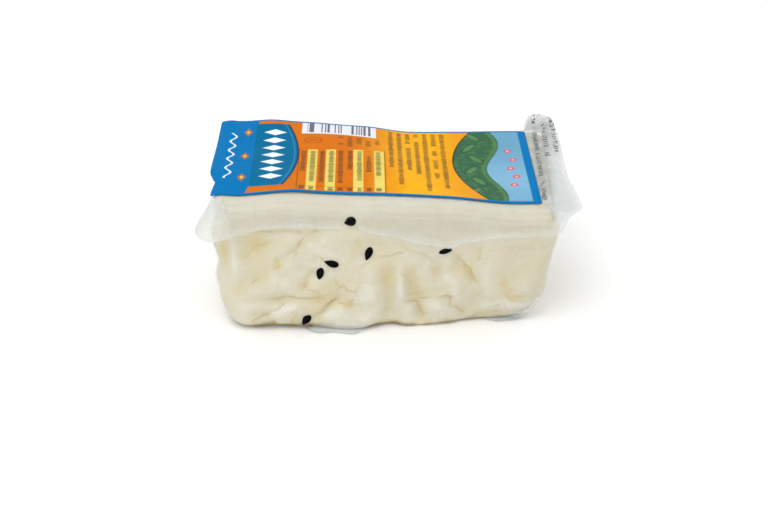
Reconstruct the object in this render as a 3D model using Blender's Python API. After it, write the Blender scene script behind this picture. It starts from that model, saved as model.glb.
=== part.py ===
"""Vacuum pack of white brined cheese with black seeds, at its real size.

The part is three solids. The pouch is the clear formed film drawn tight on the cheese, with the seeds
that lie on the cheese fused to it. The lid film covers the top and its sealed edge runs out past the
pouch all round: it hangs down at the front, back and left, and stands out at the right. The label is
the printed sheet on the lid.

The pack lies flat on its base. X runs along its length, -Y is the front and Z is up.
Lengths are in metres and angles in degrees.
"""

import math
import random

import bmesh
import bpy
from mathutils import Matrix, Vector, noise
from mathutils.bvhtree import BVHTree

# Driving sizes of the cheese in its pouch, measured at the top edge
LENGTH = 0.1082
DEPTH = 0.0640
HEIGHT = 0.0425
CORNER_RADIUS = 0.0068
TOP_EDGE_RADIUS = 0.0032
LONG_BASE_RADIUS = 0.0024
END_BASE_RADIUS = 0.0058

# Lean of the walls, inwards towards the base
LEFT_DRAFT = 3.5
RIGHT_DRAFT = 12.5
BACK_DRAFT = 7.0
FRONT_DRAFT_LEFT = 2.0
FRONT_DRAFT_RIGHT = 11.0
FRONT_TWIST_START = -0.018
FRONT_TWIST_RUN = 0.066

# The top stands higher at its left end, past a slanting fold
TOP_RISE = 0.0036
RISE_CENTRE = 0.007
RISE_WIDTH = 0.036
RISE_SLANT = 0.6
TOP_WAVE = 0.0005
TOP_WAVE_LENGTH = 0.022

# Films and label
FILM_THICKNESS = 0.0004
LABEL_THICKNESS = 0.0003
GAP = 0.00035
LABEL_LEFT = -0.0558
LABEL_RIGHT = 0.0468
LABEL_FRONT = -0.0247
LABEL_BACK = 0.0284
LABEL_CORNER = 0.0012

# Sealed edge of the film, at places round the pack. The first number is the place: 0 to 1 runs along
# the front from its left corner, 1 to 2 along the right end, 2 to 3 along the back and 3 to 4 along
# the left end. The second is how far the film runs out past the flat top, in millimetres, and the
# third how far it is bent down, in degrees.
SEALED_EDGE = (
    (0.00, 14.6, 55.0),
    (0.04, 13.2, 62.0),
    (0.10, 9.8, 84.0),
    (0.42, 9.6, 84.0),
    (0.60, 16.6, 84.0),
    (0.66, 17.4, 84.0),
    (0.72, 12.6, 84.0),
    (0.80, 10.0, 84.0),
    (0.95, 9.4, 82.0),
    (1.00, 9.2, 46.0),
    (1.06, 9.6, 8.0),
    (1.15, 9.0, 2.0),
    (1.50, 6.2, 3.0),
    (1.88, 5.6, -12.0),
    (2.00, 7.4, -52.0),
    (2.05, 7.0, -30.0),
    (2.12, 8.0, 60.0),
    (2.18, 9.0, 84.0),
    (2.50, 10.4, 84.0),
    (2.80, 8.8, 84.0),
    (3.00, 10.4, 70.0),
    (3.12, 9.0, 84.0),
    (3.85, 9.6, 84.0),
    (3.95, 13.2, 60.0),
    (4.00, 14.6, 55.0),
)
FLAP_BEND_RADIUS = 0.0050

# Seeds
SEED_LENGTH = 0.0041
SEED_WIDTH = 0.0023
SEED_SUNK = 0.35
OTHER_SEEDS = 11

# Mesh steps
STEPS_X = 32
STEPS_Y = 16
ARC_STEPS = 3
WALL_STEPS = 9
EDGE_STEPS = 4
SKIRT_STEPS = 5
LABEL_STEPS_X = 26
LABEL_STEPS_Y = 9

# Folds in the front of the cheese: upper end x, z, lower end x, z, width, and depth, in millimetres.
# A negative depth is a ridge.
FRONT_FOLDS = (
    (-2.0, 24.0, -1.6, 6.0, 2.2, 1.3),
    (1.8, 24.0, 2.0, 9.0, 2.2, -0.9),
    (5.4, 22.0, 6.4, 4.0, 2.4, 1.4),
    (-11.2, 15.0, -23.2, 6.0, 1.8, 0.9),
    (21.8, 25.0, 24.8, 18.5, 1.6, 1.0),
    (17.3, 12.0, 22.3, 6.5, 1.6, 0.9),
    (36.8, 20.0, 40.8, 9.0, 5.0, 1.1),
    (-44.2, 32.0, -41.2, 22.0, 6.5, 1.0),
    (-27.7, 35.0, -34.7, 25.0, 1.8, 0.7),
    (-25.2, 21.0, -30.2, 16.0, 1.6, 0.7),
    (-43.2, 12.0, -24.2, 12.5, 1.8, 0.7),
    (-15.2, 9.0, -13.2, 4.0, 4.0, -1.1),
    (-33.2, 8.0, -30.2, 4.0, 3.6, -0.9),
    (-8.5, 0.0, -5.0, 0.0, 4.5, 3.6),
)

# Seeds that show at the front: x and z of the middle in millimetres, and the turn of the long axis
FRONT_SEEDS = (
    (-5.9, 27.6, 70.0),
    (-17.6, 24.6, -15.0),
    (-20.7, 21.0, 75.0),
    (-25.5, 6.0, 60.0),
    (18.1, 25.0, 12.0),
)


def smooth_step(value):
    """Runs from 0 to 1 with level ends as the value does."""
    clamped = max(0.0, min(1.0, value))
    return clamped * clamped * (3.0 - 2.0 * clamped)


def mix(first, second, share):
    return first + (second - first) * share


def clear_scene():
    for old in list(bpy.data.objects):
        bpy.data.objects.remove(old)


def plain_material(name, colour, roughness):
    made = bpy.data.materials.new(name)
    made.use_nodes = True
    shader = made.node_tree.nodes["Principled BSDF"]
    shader.inputs["Base Color"].default_value = (*colour, 1.0)
    shader.inputs["Roughness"].default_value = roughness
    shader.inputs["Metallic"].default_value = 0.0
    return made


def new_object(name, points, faces, material):
    mesh = bpy.data.meshes.new(name)
    mesh.from_pydata(points, [], faces)
    mesh.validate()
    made = bpy.data.objects.new(name, mesh)
    bpy.context.scene.collection.objects.link(made)
    mesh.materials.append(material)
    mesh.shade_smooth()
    return made


def side_fraction(step, steps):
    """(arc, share): the corner arc or straight run that a step along one side of the plan lies on.

    arc is -1 on the first half corner, 1 on the last one and 0 between them.
    """
    if step <= ARC_STEPS:
        return -1, step / ARC_STEPS
    if step >= steps - ARC_STEPS:
        return 1, (step - steps + ARC_STEPS) / ARC_STEPS
    return 0, (step - ARC_STEPS) / (steps - 2 * ARC_STEPS)


def corner_point(half_x, half_y, radius, sign_x, sign_y, angle):
    centre_x = sign_x * (half_x - radius)
    centre_y = sign_y * (half_y - radius)
    turn = math.radians(angle)
    return centre_x + radius * math.cos(turn), centre_y + radius * math.sin(turn)


def plan_side(step, steps, half_run, half_out, radius):
    """A point on the side that lies at -half_out, run from -half_run to half_run."""
    arc, share = side_fraction(step, steps)
    if arc < 0:
        return corner_point(half_run, half_out, radius, -1, -1, 225.0 + 45.0 * share)
    if arc > 0:
        return corner_point(half_run, half_out, radius, 1, -1, 270.0 + 45.0 * share)
    return mix(-half_run + radius, half_run - radius, share), -half_out


def plan_ring(half_x, half_y, radius):
    """Points round a rounded rectangle, from its front left corner and on past the front right one."""
    ring = [plan_side(i, STEPS_X, half_x, half_y, radius) for i in range(STEPS_X)]
    for j in range(STEPS_Y):
        run, out = plan_side(j, STEPS_Y, half_y, half_x, radius)
        ring.append((-out, run))
    ring += [(-x, -y) for x, y in ring]
    return ring


def ring_index(i, j):
    """The place in a ring of the point of the top's grid at column i and row j, on the grid's edge."""
    if j == 0:
        return i
    if i == STEPS_X:
        return STEPS_X + j
    if j == STEPS_Y:
        return STEPS_X + STEPS_Y + (STEPS_X - i)
    return 2 * STEPS_X + STEPS_Y + (STEPS_Y - j)


def top_height(x, y):
    """Height of the cheese's top, with its slanting rise and slight waves."""
    rise = smooth_step(0.5 - (x - RISE_CENTRE + RISE_SLANT * y) / RISE_WIDTH)
    wave = noise.noise(Vector((x, y, 0.3)) / TOP_WAVE_LENGTH)
    return HEIGHT + TOP_RISE * (rise - 0.5) + TOP_WAVE * wave


def front_draft(x):
    return mix(FRONT_DRAFT_LEFT, FRONT_DRAFT_RIGHT, smooth_step((x - FRONT_TWIST_START) / FRONT_TWIST_RUN))


def base_radius(x):
    """Radius of the rounded edge round the base, larger at the two ends."""
    reach = 0.018
    return mix(LONG_BASE_RADIUS, END_BASE_RADIUS, smooth_step((abs(x) - LENGTH / 2 + reach) / reach))


def wall_rows(radius):
    """(depth below the top, inset past the draft) of each row of the wall, from the base upwards."""
    rows = []
    for k in range(EDGE_STEPS + 1):
        turn = 0.5 * math.pi * k / EDGE_STEPS
        rows.append((HEIGHT - radius * (1.0 - math.cos(turn)), radius * (1.0 - math.sin(turn))))
    for k in range(1, WALL_STEPS):
        rows.append((HEIGHT - mix(radius, HEIGHT - TOP_EDGE_RADIUS, k / WALL_STEPS), 0.0))
    for k in range(EDGE_STEPS + 1):
        turn = 0.5 * math.pi * k / EDGE_STEPS
        drop = TOP_EDGE_RADIUS * (1.0 - math.sin(turn))
        rows.append((drop, TOP_EDGE_RADIUS * (1.0 - math.cos(turn))))
    return rows


def wall_point(plan, row):
    """A point of the pouch's wall: plan is the point at the top's rim, before draft."""
    x, y = plan
    half_x, half_y = LENGTH / 2, DEPTH / 2
    depth, inset = wall_rows(base_radius(x))[row]
    end_draft = LEFT_DRAFT if x < 0 else RIGHT_DRAFT
    end_inset = depth * math.tan(math.radians(end_draft)) + inset
    draft = front_draft(x) if y < 0 else BACK_DRAFT
    side_inset = depth * math.tan(math.radians(draft)) + inset
    moved_x = x * (half_x - end_inset) / half_x
    moved_y = y * (half_y - side_inset) / half_y
    height = top_height(moved_x, moved_y) * (1.0 - depth / HEIGHT)
    return Vector((moved_x, moved_y, height))


def fold_relief(x, z):
    """How far the folds draw the front in at a point, in metres."""
    total = 0.0
    for x_a, z_a, x_b, z_b, width, depth in FRONT_FOLDS:
        start = Vector((x_a, z_a))
        along = Vector((x_b, z_b)) - start
        point = Vector((x, z)) * 1000.0 - start
        share = max(0.0, min(1.0, point.dot(along) / along.length_squared))
        away = (point - along * share).length / width
        total += depth * math.exp(-away * away)
    return total / 1000.0


def relief(point, normal):
    """How far the wall stands out at a point: curd lumps all round, and the folds at the front."""
    lumps = noise.noise(point / 0.014) * 0.0011
    lumps += noise.noise(point / 0.0065 + Vector((7.0, 3.0, 1.0))) * 0.0006
    facing_front = smooth_step(-normal.y * 1.6 - 0.4)
    lumps -= facing_front * fold_relief(point.x, point.z)
    top = smooth_step((HEIGHT - 0.004 - point.z) / 0.010)
    return lumps * top


def grid_faces(corner, columns, rows):
    """Triangles of a grid; corner gives the vertex at a column and row."""
    faces = []
    for i in range(columns):
        for j in range(rows):
            a, b = corner(i, j), corner(i + 1, j)
            c, d = corner(i + 1, j + 1), corner(i, j + 1)
            faces += [(a, b, c), (a, c, d)]
    return faces


def band_faces(rows, size):
    """Triangles between rings of the same size, held one after another."""
    faces = []
    for row in range(rows - 1):
        low, high = row * size, (row + 1) * size
        for k in range(size):
            following = (k + 1) % size
            faces.append((low + k, low + following, high + following))
            faces.append((low + k, high + following, high + k))
    return faces


def top_plan(i, j, ring):
    """Plan position of a point of the top's grid inside its rim, on scaled copies of the rim."""
    u, v = 2.0 * i / STEPS_X - 1.0, 2.0 * j / STEPS_Y - 1.0
    share = max(abs(u), abs(v))
    if share == 0.0:
        return 0.0, 0.0
    edge_i = (u / share + 1.0) * STEPS_X / 2
    edge_j = (v / share + 1.0) * STEPS_Y / 2
    place = edge_place(edge_i, edge_j)
    low = int(math.floor(place))
    part = place - low
    size = len(ring)
    x = mix(ring[low % size][0], ring[(low + 1) % size][0], part)
    y = mix(ring[low % size][1], ring[(low + 1) % size][1], part)
    return x * share, y * share


def edge_place(edge_i, edge_j):
    """The place in a ring, with its fraction, of a point on the edge of the top's grid."""
    near = 1e-6
    if edge_j < near:
        return edge_i
    if edge_i > STEPS_X - near:
        return STEPS_X + edge_j
    if edge_j > STEPS_Y - near:
        return STEPS_X + STEPS_Y + (STEPS_X - edge_i)
    return 2 * STEPS_X + STEPS_Y + (STEPS_Y - edge_j)


def top_grid(points, ring_start, ring, lift):
    """Adds the points inside the top's rim and gives the vertex at each column and row."""
    inner = {}
    for i in range(1, STEPS_X):
        for j in range(1, STEPS_Y):
            x, y = top_plan(i, j, ring)
            inner[i, j] = len(points)
            points.append(Vector((x, y, top_height(x, y) + lift)))

    def corner(i, j):
        on_edge = i in (0, STEPS_X) or j in (0, STEPS_Y)
        return ring_start + ring_index(i, j) if on_edge else inner[i, j]

    return corner


def make_pouch(material):
    """The cheese and the clear film drawn tight on it, as one solid."""
    rim = plan_ring(LENGTH / 2, DEPTH / 2, CORNER_RADIUS)
    rows = 2 * EDGE_STEPS + WALL_STEPS + 1
    size = len(rim)
    points = [wall_point(plan, row) for row in range(rows) for plan in rim]
    last_row = (rows - 1) * size
    flat_rim = [(p.x, p.y) for p in points[last_row:]]
    faces = band_faces(rows, size)
    faces += grid_faces(top_grid(points, last_row, flat_rim, 0.0), STEPS_X, STEPS_Y)
    faces.append(tuple(reversed(range(size))))
    pouch = new_object("cheese_pouch", points, faces, material)
    shape_relief(pouch.data)
    return pouch


def shape_relief(mesh):
    normals = [Vector(vertex.normal) for vertex in mesh.vertices]
    for vertex, normal in zip(mesh.vertices, normals):
        sideways = Vector((normal.x, normal.y, 0.0))
        vertex.co += sideways * relief(vertex.co, normal)
        vertex.co.z = max(vertex.co.z, 0.0)
    mesh.update()


def make_seed(name, place, outward, turn, material):
    """A drop-shaped seed that lies on the surface, its point along the turned long axis."""
    bm = bmesh.new()
    bmesh.ops.create_uvsphere(bm, u_segments=6, v_segments=4, radius=0.5)
    for vertex in bm.verts:
        narrow = 1.0 - 0.55 * (vertex.co.z + 0.5) ** 2
        vertex.co.x *= narrow * SEED_WIDTH
        vertex.co.y *= narrow * SEED_WIDTH
        vertex.co.z *= SEED_LENGTH
    mesh = bpy.data.meshes.new(name)
    bm.to_mesh(mesh)
    bm.free()
    seed = bpy.data.objects.new(name, mesh)
    mesh.materials.append(material)
    level = Vector((0.0, 0.0, 1.0)).cross(outward).normalized()
    upward = outward.cross(level)
    angle = math.radians(turn)
    long_axis = level * math.cos(angle) + upward * math.sin(angle)
    frame = Matrix((outward.cross(long_axis), outward, long_axis)).transposed()
    rise = outward * SEED_WIDTH * (0.5 - SEED_SUNK)
    seed.matrix_world = Matrix.Translation(place + rise) @ frame.to_4x4()
    return seed


def seed_rays():
    """(start, direction, turn) of the ray that finds each seed's place on the pouch."""
    far = 0.2
    rays = []
    for x, z, turn in FRONT_SEEDS:
        rays.append((Vector((x / 1000, -far, z / 1000)), Vector((0, 1, 0)), turn))
    draws = random.Random(5)
    for number in range(OTHER_SEEDS):
        z = draws.uniform(0.007, 0.025)
        turn = draws.uniform(0.0, 180.0)
        if number % 2 == 0:
            x = mix(-0.038, 0.038, (number + draws.random()) / OTHER_SEEDS)
            rays.append((Vector((x, far, z)), Vector((0, -1, 0)), turn))
            continue
        side = 1 if number % 4 == 1 else -1
        y = draws.uniform(-0.018, 0.018)
        rays.append((Vector((side * far, y, z)), Vector((-side, 0, 0)), turn))
    return rays


def add_seeds(pouch, material):
    """Joins the seeds to the pouch by one union and removes them."""
    graph = bpy.context.evaluated_depsgraph_get()
    surface = BVHTree.FromObject(pouch, graph)
    group = bpy.data.collections.new("seeds")
    bpy.context.scene.collection.children.link(group)
    for number, (start, direction, turn) in enumerate(seed_rays()):
        place, outward, _, _ = surface.ray_cast(start, direction)
        group.objects.link(make_seed(f"seed_{number}", place, outward, turn, material))
    union = pouch.modifiers.new("seeds", "BOOLEAN")
    union.operation = "UNION"
    union.operand_type = "COLLECTION"
    union.collection = group
    union.solver = "EXACT"
    graph.update()
    joined = bpy.data.meshes.new_from_object(pouch.evaluated_get(graph))
    pouch.modifiers.clear()
    pouch.data = joined
    joined.shade_smooth()
    for seed in list(group.objects):
        bpy.data.objects.remove(seed)
    bpy.data.collections.remove(group)


def skirt_shape(place):
    """(width, bend) of the sealed edge at a place round the pack."""
    for (low, width_a, bend_a), (high, width_b, bend_b) in zip(SEALED_EDGE, SEALED_EDGE[1:]):
        if place <= high:
            share = smooth_step((place - low) / (high - low))
            return mix(width_a, width_b, share) / 1000.0, mix(bend_a, bend_b, share)
    return SEALED_EDGE[0][1] / 1000.0, SEALED_EDGE[0][2]


def ring_place(index):
    """The place round the pack, from 0 to 4, of a point of a ring."""
    if index < STEPS_X:
        return index / STEPS_X
    if index < STEPS_X + STEPS_Y:
        return 1.0 + (index - STEPS_X) / STEPS_Y
    return 2.0 + ring_place(index - STEPS_X - STEPS_Y)


def skirt_path(width, bend):
    """(out, down) steps of the film's edge: bent to the given angle, then straight."""
    turn = math.radians(bend)
    radius = mix(FLAP_BEND_RADIUS, TOP_EDGE_RADIUS + GAP, smooth_step(bend / 40.0))
    arc = max(abs(radius * turn), 1e-6)
    path = []
    out = down = 0.0
    fine = 24
    step = width / fine
    for k in range(fine):
        reached = min(1.0, (k + 0.5) * step / arc) * turn
        out += math.cos(reached) * step
        down += math.sin(reached) * step
        path.append((out, down))
    return [path[fine * (k + 1) // SKIRT_STEPS - 1] for k in range(SKIRT_STEPS)]


def make_lid_film(material):
    """The film over the top and its sealed edge, a thin sheet a gap above the pouch."""
    inset = TOP_EDGE_RADIUS
    rim = plan_ring(LENGTH / 2 - inset, DEPTH / 2 - inset, CORNER_RADIUS - inset)
    outer = plan_ring(LENGTH / 2, DEPTH / 2, CORNER_RADIUS)
    size = len(rim)
    rings = [[Vector((x, y, top_height(x, y) + GAP)) for x, y in rim]]
    rings += [[] for _ in range(SKIRT_STEPS)]
    for index, ((x, y), (x_out, y_out)) in enumerate(zip(rim, outer)):
        outward = Vector((x_out - x, y_out - y, 0.0)).normalized()
        start = Vector((x, y, top_height(x, y) + GAP))
        for row, (out, down) in enumerate(skirt_path(*skirt_shape(ring_place(index)))):
            rings[row + 1].append(start + outward * out - Vector((0.0, 0.0, down)))
    points = [point for ring in reversed(rings) for point in ring]
    last_row = SKIRT_STEPS * size
    faces = band_faces(SKIRT_STEPS + 1, size)
    faces += grid_faces(top_grid(points, last_row, rim, GAP), STEPS_X, STEPS_Y)
    film = new_object("lid_film", points, faces, material)
    thicken(film, FILM_THICKNESS)
    return film


def thicken(sheet, thickness):
    """Gives a sheet its thickness, outwards from the face that was modelled."""
    walls = sheet.modifiers.new("thickness", "SOLIDIFY")
    walls.thickness = thickness
    walls.offset = 1.0
    walls.use_even_offset = True


def label_point(u, v):
    """A point of the label at shares u and v of its length and depth; its left end is bent down."""
    x, y = mix(LABEL_LEFT, LABEL_RIGHT, u), mix(LABEL_FRONT, LABEL_BACK, v)
    if u in (0.0, 1.0) and v in (0.0, 1.0):
        x += math.copysign(LABEL_CORNER * 0.5, 0.5 - u)
        y += math.copysign(LABEL_CORNER * 0.5, 0.5 - v)
    lift = 2 * GAP + FILM_THICKNESS
    bend_start = TOP_EDGE_RADIUS - LENGTH / 2
    if x >= bend_start:
        return Vector((x, y, top_height(x, y) + lift))
    radius = TOP_EDGE_RADIUS + lift
    turn = (bend_start - x) / radius
    height = top_height(bend_start, y) + lift - radius * (1.0 - math.cos(turn))
    return Vector((bend_start - radius * math.sin(turn), y, height))


def make_label(material):
    """The printed sheet that lies on the lid film, with its corners slightly rounded."""
    columns, rows = LABEL_STEPS_X, LABEL_STEPS_Y
    points = [label_point(i / columns, j / rows) for j in range(rows + 1) for i in range(columns + 1)]
    faces = grid_faces(lambda i, j: j * (columns + 1) + i, columns, rows)
    label = new_object("label", points, faces, material)
    thicken(label, LABEL_THICKNESS)
    return label


def centre_on_base(objects):
    """Moves the pack as one so that the origin is at the middle of its box, at the base."""
    bpy.context.view_layer.update()
    graph = bpy.context.evaluated_depsgraph_get()
    corners = []
    for made in objects:
        evaluated = made.evaluated_get(graph)
        corners += [evaluated.matrix_world @ v.co for v in evaluated.data.vertices]
    low = [min(c[axis] for c in corners) for axis in range(3)]
    high = [max(c[axis] for c in corners) for axis in range(3)]
    shift = Vector((-(low[0] + high[0]) / 2, -(low[1] + high[1]) / 2, -low[2]))
    for made in objects:
        made.location = shift


def main():
    clear_scene()
    cheese = plain_material("cheese_in_film", (0.86, 0.82, 0.70), 0.45)
    film = plain_material("clear_film", (0.88, 0.89, 0.88), 0.25)
    print_ink = plain_material("label_print", (0.92, 0.46, 0.07), 0.35)
    pouch = make_pouch(cheese)
    add_seeds(pouch, cheese)
    lid = make_lid_film(film)
    label = make_label(print_ink)
    centre_on_base([pouch, lid, label])


main()
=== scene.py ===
"""The looks of a vacuum pack of white cheese with black seeds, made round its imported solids.

The block of cheese, the seeds, the clear pouch, the lid film and the printed label are each a piece
with its own procedural material. Lengths are in metres and angles in degrees. The script's own frame
has its origin at the middle of the block, at the base, and origin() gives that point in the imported
frame. X runs along the pack, -Y is the front and Z is up.
"""

import math
import random

import bpy
import numpy as np
from bpy.props import FloatProperty, FloatVectorProperty, IntProperty, PointerProperty
from bpy.types import Operator, Panel, PropertyGroup
from mathutils import Matrix, Vector, noise
from mathutils.bvhtree import BVHTree


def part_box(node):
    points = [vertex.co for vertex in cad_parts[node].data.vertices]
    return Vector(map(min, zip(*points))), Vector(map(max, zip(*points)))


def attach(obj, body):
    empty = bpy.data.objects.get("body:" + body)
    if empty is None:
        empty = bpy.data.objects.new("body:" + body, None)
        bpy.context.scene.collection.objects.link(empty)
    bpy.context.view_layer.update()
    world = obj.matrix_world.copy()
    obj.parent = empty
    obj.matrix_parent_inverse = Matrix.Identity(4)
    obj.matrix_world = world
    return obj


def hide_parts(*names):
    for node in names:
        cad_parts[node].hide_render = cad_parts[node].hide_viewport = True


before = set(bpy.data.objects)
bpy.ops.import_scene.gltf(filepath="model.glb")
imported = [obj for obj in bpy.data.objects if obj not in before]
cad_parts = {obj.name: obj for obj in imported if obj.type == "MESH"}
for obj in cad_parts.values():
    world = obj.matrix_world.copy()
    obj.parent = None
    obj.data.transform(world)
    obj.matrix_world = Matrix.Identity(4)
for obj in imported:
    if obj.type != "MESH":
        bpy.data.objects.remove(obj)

bl_info = {
    "name": "Cheese Pack",
    "version": (1, 0, 0),
    "blender": (4, 5, 0),
    "location": "View3D > Sidebar > Cheese Pack",
    "description": "Builds a vacuum pack of white cheese with black seeds and its stage",
    "category": "Object",
}

MM = 0.001

# Form of the block, the same as in its solid
CORNER_RADIUS = 0.0068
TOP_EDGE_RADIUS = 0.0032
LEFT_DRAFT = 3.5
RIGHT_DRAFT = 12.5
BACK_DRAFT = 7.0
FRONT_DRAFT_LEFT = 2.0
FRONT_DRAFT_RIGHT = 11.0
FRONT_TWIST_START = -0.018
FRONT_TWIST_RUN = 0.066
TOP_RISE = 0.0036
RISE_CENTRE = 0.007
RISE_WIDTH = 0.036
RISE_SLANT = 0.6
TOP_WAVE = 0.0005
TOP_WAVE_LENGTH = 0.022

# The rounded edge round the base: the cheese's own, and the tauter one of the pouch
CHEESE_BASE = (0.0024, 0.0050)
POUCH_BASE = (0.0012, 0.0042)
BASE_REACH = 0.014

# Height of the cheese's top past the solid's, and the clear distances of the films above it
TOP_LIFT = 0.0007
CHEESE_INSET = 0.00025
FILM_GAP = 0.00012

# Folds in the front of the cheese: upper end x, z, lower end x, z, width, and depth, in millimetres.
# A negative depth is a ridge.
FRONT_FOLDS = (
    (0.0, 23.0, 0.4, 7.0, 2.2, 0.7),
    (4.0, 23.0, 4.4, 12.0, 1.6, -0.5),
    (7.6, 21.0, 10.4, 5.0, 2.2, 0.75),
    (-15.6, 12.0, -22.4, 5.6, 1.8, 0.8),
    (-23.4, 21.0, -26.4, 15.6, 1.8, 0.7),
    (21.8, 26.0, 26.6, 19.0, 1.6, 0.9),
    (19.6, 12.0, 23.6, 7.0, 1.6, 0.8),
    (-43.2, 32.0, -40.2, 22.0, 6.5, 0.9),
    (-22.6, 35.4, -33.4, 25.0, 1.8, 0.6),
    (-27.6, 27.0, -36.4, 15.0, 3.2, -0.5),
    (-43.2, 11.6, -22.2, 11.9, 1.8, 0.6),
    (-3.0, 0.5, 1.0, 0.5, 3.8, 2.8),
)

# Fine creases in the front: width, depth and tint, then the points x, z they pass, in millimetres.
# The curd on the left of a crease, seen along it, stands a little higher than on its right. A crease's
# tint and dark line are partly painted shade.
FRONT_CREASES = (
    (0.40, 0.40, 0.7, ((-36.6, 31.2), (-39.4, 30.2), (-41.5, 28.9), (-43.0, 27.0), (-45.0, 25.6))),
    (0.40, 0.40, 0.8, ((-33.8, 23.1), (-36.2, 22.3), (-37.1, 21.5), (-38.1, 19.6), (-40.4, 18.7),
                       (-41.9, 17.2))),
    (0.40, 0.20, 0.4, ((-41.9, 17.2), (-45.6, 17.0), (-48.4, 15.4))),
    (0.60, 0.55, 1.1, ((-21.6, 35.9), (-24.3, 34.5), (-26.7, 31.5))),
    (0.40, 0.40, 0.7, ((-26.7, 31.5), (-28.6, 28.9), (-31.2, 27.3))),
    (0.35, 0.30, 0.5, ((-22.9, 33.1), (-24.8, 31.5), (-27.7, 28.9), (-29.6, 25.7))),
    (0.35, 0.25, 1.1, ((-20.6, 26.8), (-19.6, 25.2))),
    (0.90, 0.55, 1.3, ((-23.2, 21.2), (-24.8, 18.8), (-25.8, 16.4))),
    (0.40, 0.30, 0.9, ((-25.8, 16.4), (-27.2, 15.4))),
    (0.35, 0.30, 0.7, ((-26.7, 15.4), (-23.9, 15.5), (-21.5, 14.6), (-20.6, 12.5))),
    (0.40, 0.40, 0.8, ((-35.7, 11.9), (-33.3, 12.0), (-31.9, 12.7), (-27.7, 12.0), (-22.0, 11.9))),
    (0.35, 0.30, 0.6, ((-22.0, 11.9), (-20.4, 13.0), (-18.8, 13.2))),
    (0.40, 0.40, 0.9, ((-15.4, 15.8), (-13.5, 16.7), (-12.5, 15.1), (-9.7, 14.6), (-9.2, 16.2))),
    (0.80, 0.55, 1.3, ((-22.0, 6.1), (-19.6, 8.5), (-17.2, 10.9))),
    (0.45, 0.40, 0.8, ((-17.2, 10.9), (-15.4, 11.9), (-14.9, 10.4), (-12.5, 10.4))),
    (0.50, 0.40, 1.1, ((-12.5, 10.4), (-11.1, 11.9), (-11.1, 9.5))),
    (0.35, 0.25, 0.5, ((-11.1, 10.2), (-8.4, 10.6), (-4.9, 10.3))),
    (0.50, 0.45, 0.9, ((-42.4, 4.4), (-38.1, 6.6), (-35.2, 8.2), (-32.4, 9.8))),
    (0.40, 0.30, 0.7, ((-28.6, 6.1), (-30.5, 2.9))),
    (0.40, 0.30, 0.8, ((-6.8, 23.9), (-5.4, 25.2), (-2.1, 27.0), (0.3, 27.3), (4.3, 28.9))),
    (0.40, 0.35, 0.8, ((4.8, 31.0), (7.2, 29.4), (11.4, 28.1), (13.8, 25.7))),
    (0.35, 0.30, 0.7, ((4.6, 21.2), (6.2, 19.6), (7.2, 16.7))),
    (0.45, 0.40, 1.1, ((5.7, 11.1), (9.5, 10.6), (10.5, 7.2), (11.4, 5.6))),
    (0.45, 0.40, 0.9, ((10.9, 11.9), (13.8, 12.5), (18.5, 13.3), (19.9, 12.5), (19.9, 9.3),
                       (21.8, 8.8), (24.0, 6.6))),
    (0.35, 0.40, 0.8, ((20.9, 27.8), (24.7, 23.9))),
    (0.65, 0.55, 1.3, ((24.3, 23.9), (25.8, 22.9), (26.4, 20.8), (26.9, 19.6))),
    (0.40, 0.30, 0.7, ((27.0, 19.2), (28.2, 17.6))),
    (0.40, 0.30, 0.7, ((28.9, 29.4), (28.7, 26.8), (28.0, 25.7))),
    (0.45, 0.35, 0.8, ((29.9, 6.6), (32.7, 8.8), (35.6, 9.8))),
    (0.40, 0.30, 0.6, ((27.5, 6.1), (32.2, 6.6), (34.6, 7.2))),
    (0.60, -0.40, 0.3, ((36.6, 14.4), (39.4, 11.6), (43.0, 11.2), (46.6, 13.0), (48.4, 16.6))),
    # The next two follow the lid film's lower edge: painted shadow under it
    (1.10, 0.30, 1.0, ((-45.6, 34.9), (-40.0, 35.4), (-30.0, 36.0), (-21.5, 35.9))),
    (1.60, 0.10, 0.2, ((28.0, 31.4), (34.0, 30.6), (42.0, 30.4), (52.0, 30.4))),
    # The next three run along the base: painted shadow under the cheese's lower edge and its notch
    (2.20, 0.50, 2.2, ((-41.0, 1.6), (-35.7, 3.0), (-31.5, 2.2), (-22.0, 2.2))),
    (1.60, 0.20, 1.6, ((2.0, 2.2), (14.0, 3.2), (28.0, 4.4), (36.0, 4.8))),
    (1.80, 0.20, 2.2, ((-5.5, 1.4), (-2.0, 2.6), (3.0, 2.6))),
    (0.35, 0.20, 0.5, ((-16.5, 18.6), (-15.2, 17.0), (-17.8, 16.0))),
    (0.35, 0.20, 0.5, ((-9.6, 32.0), (-9.2, 30.0), (-11.0, 28.6))),
)
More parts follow.
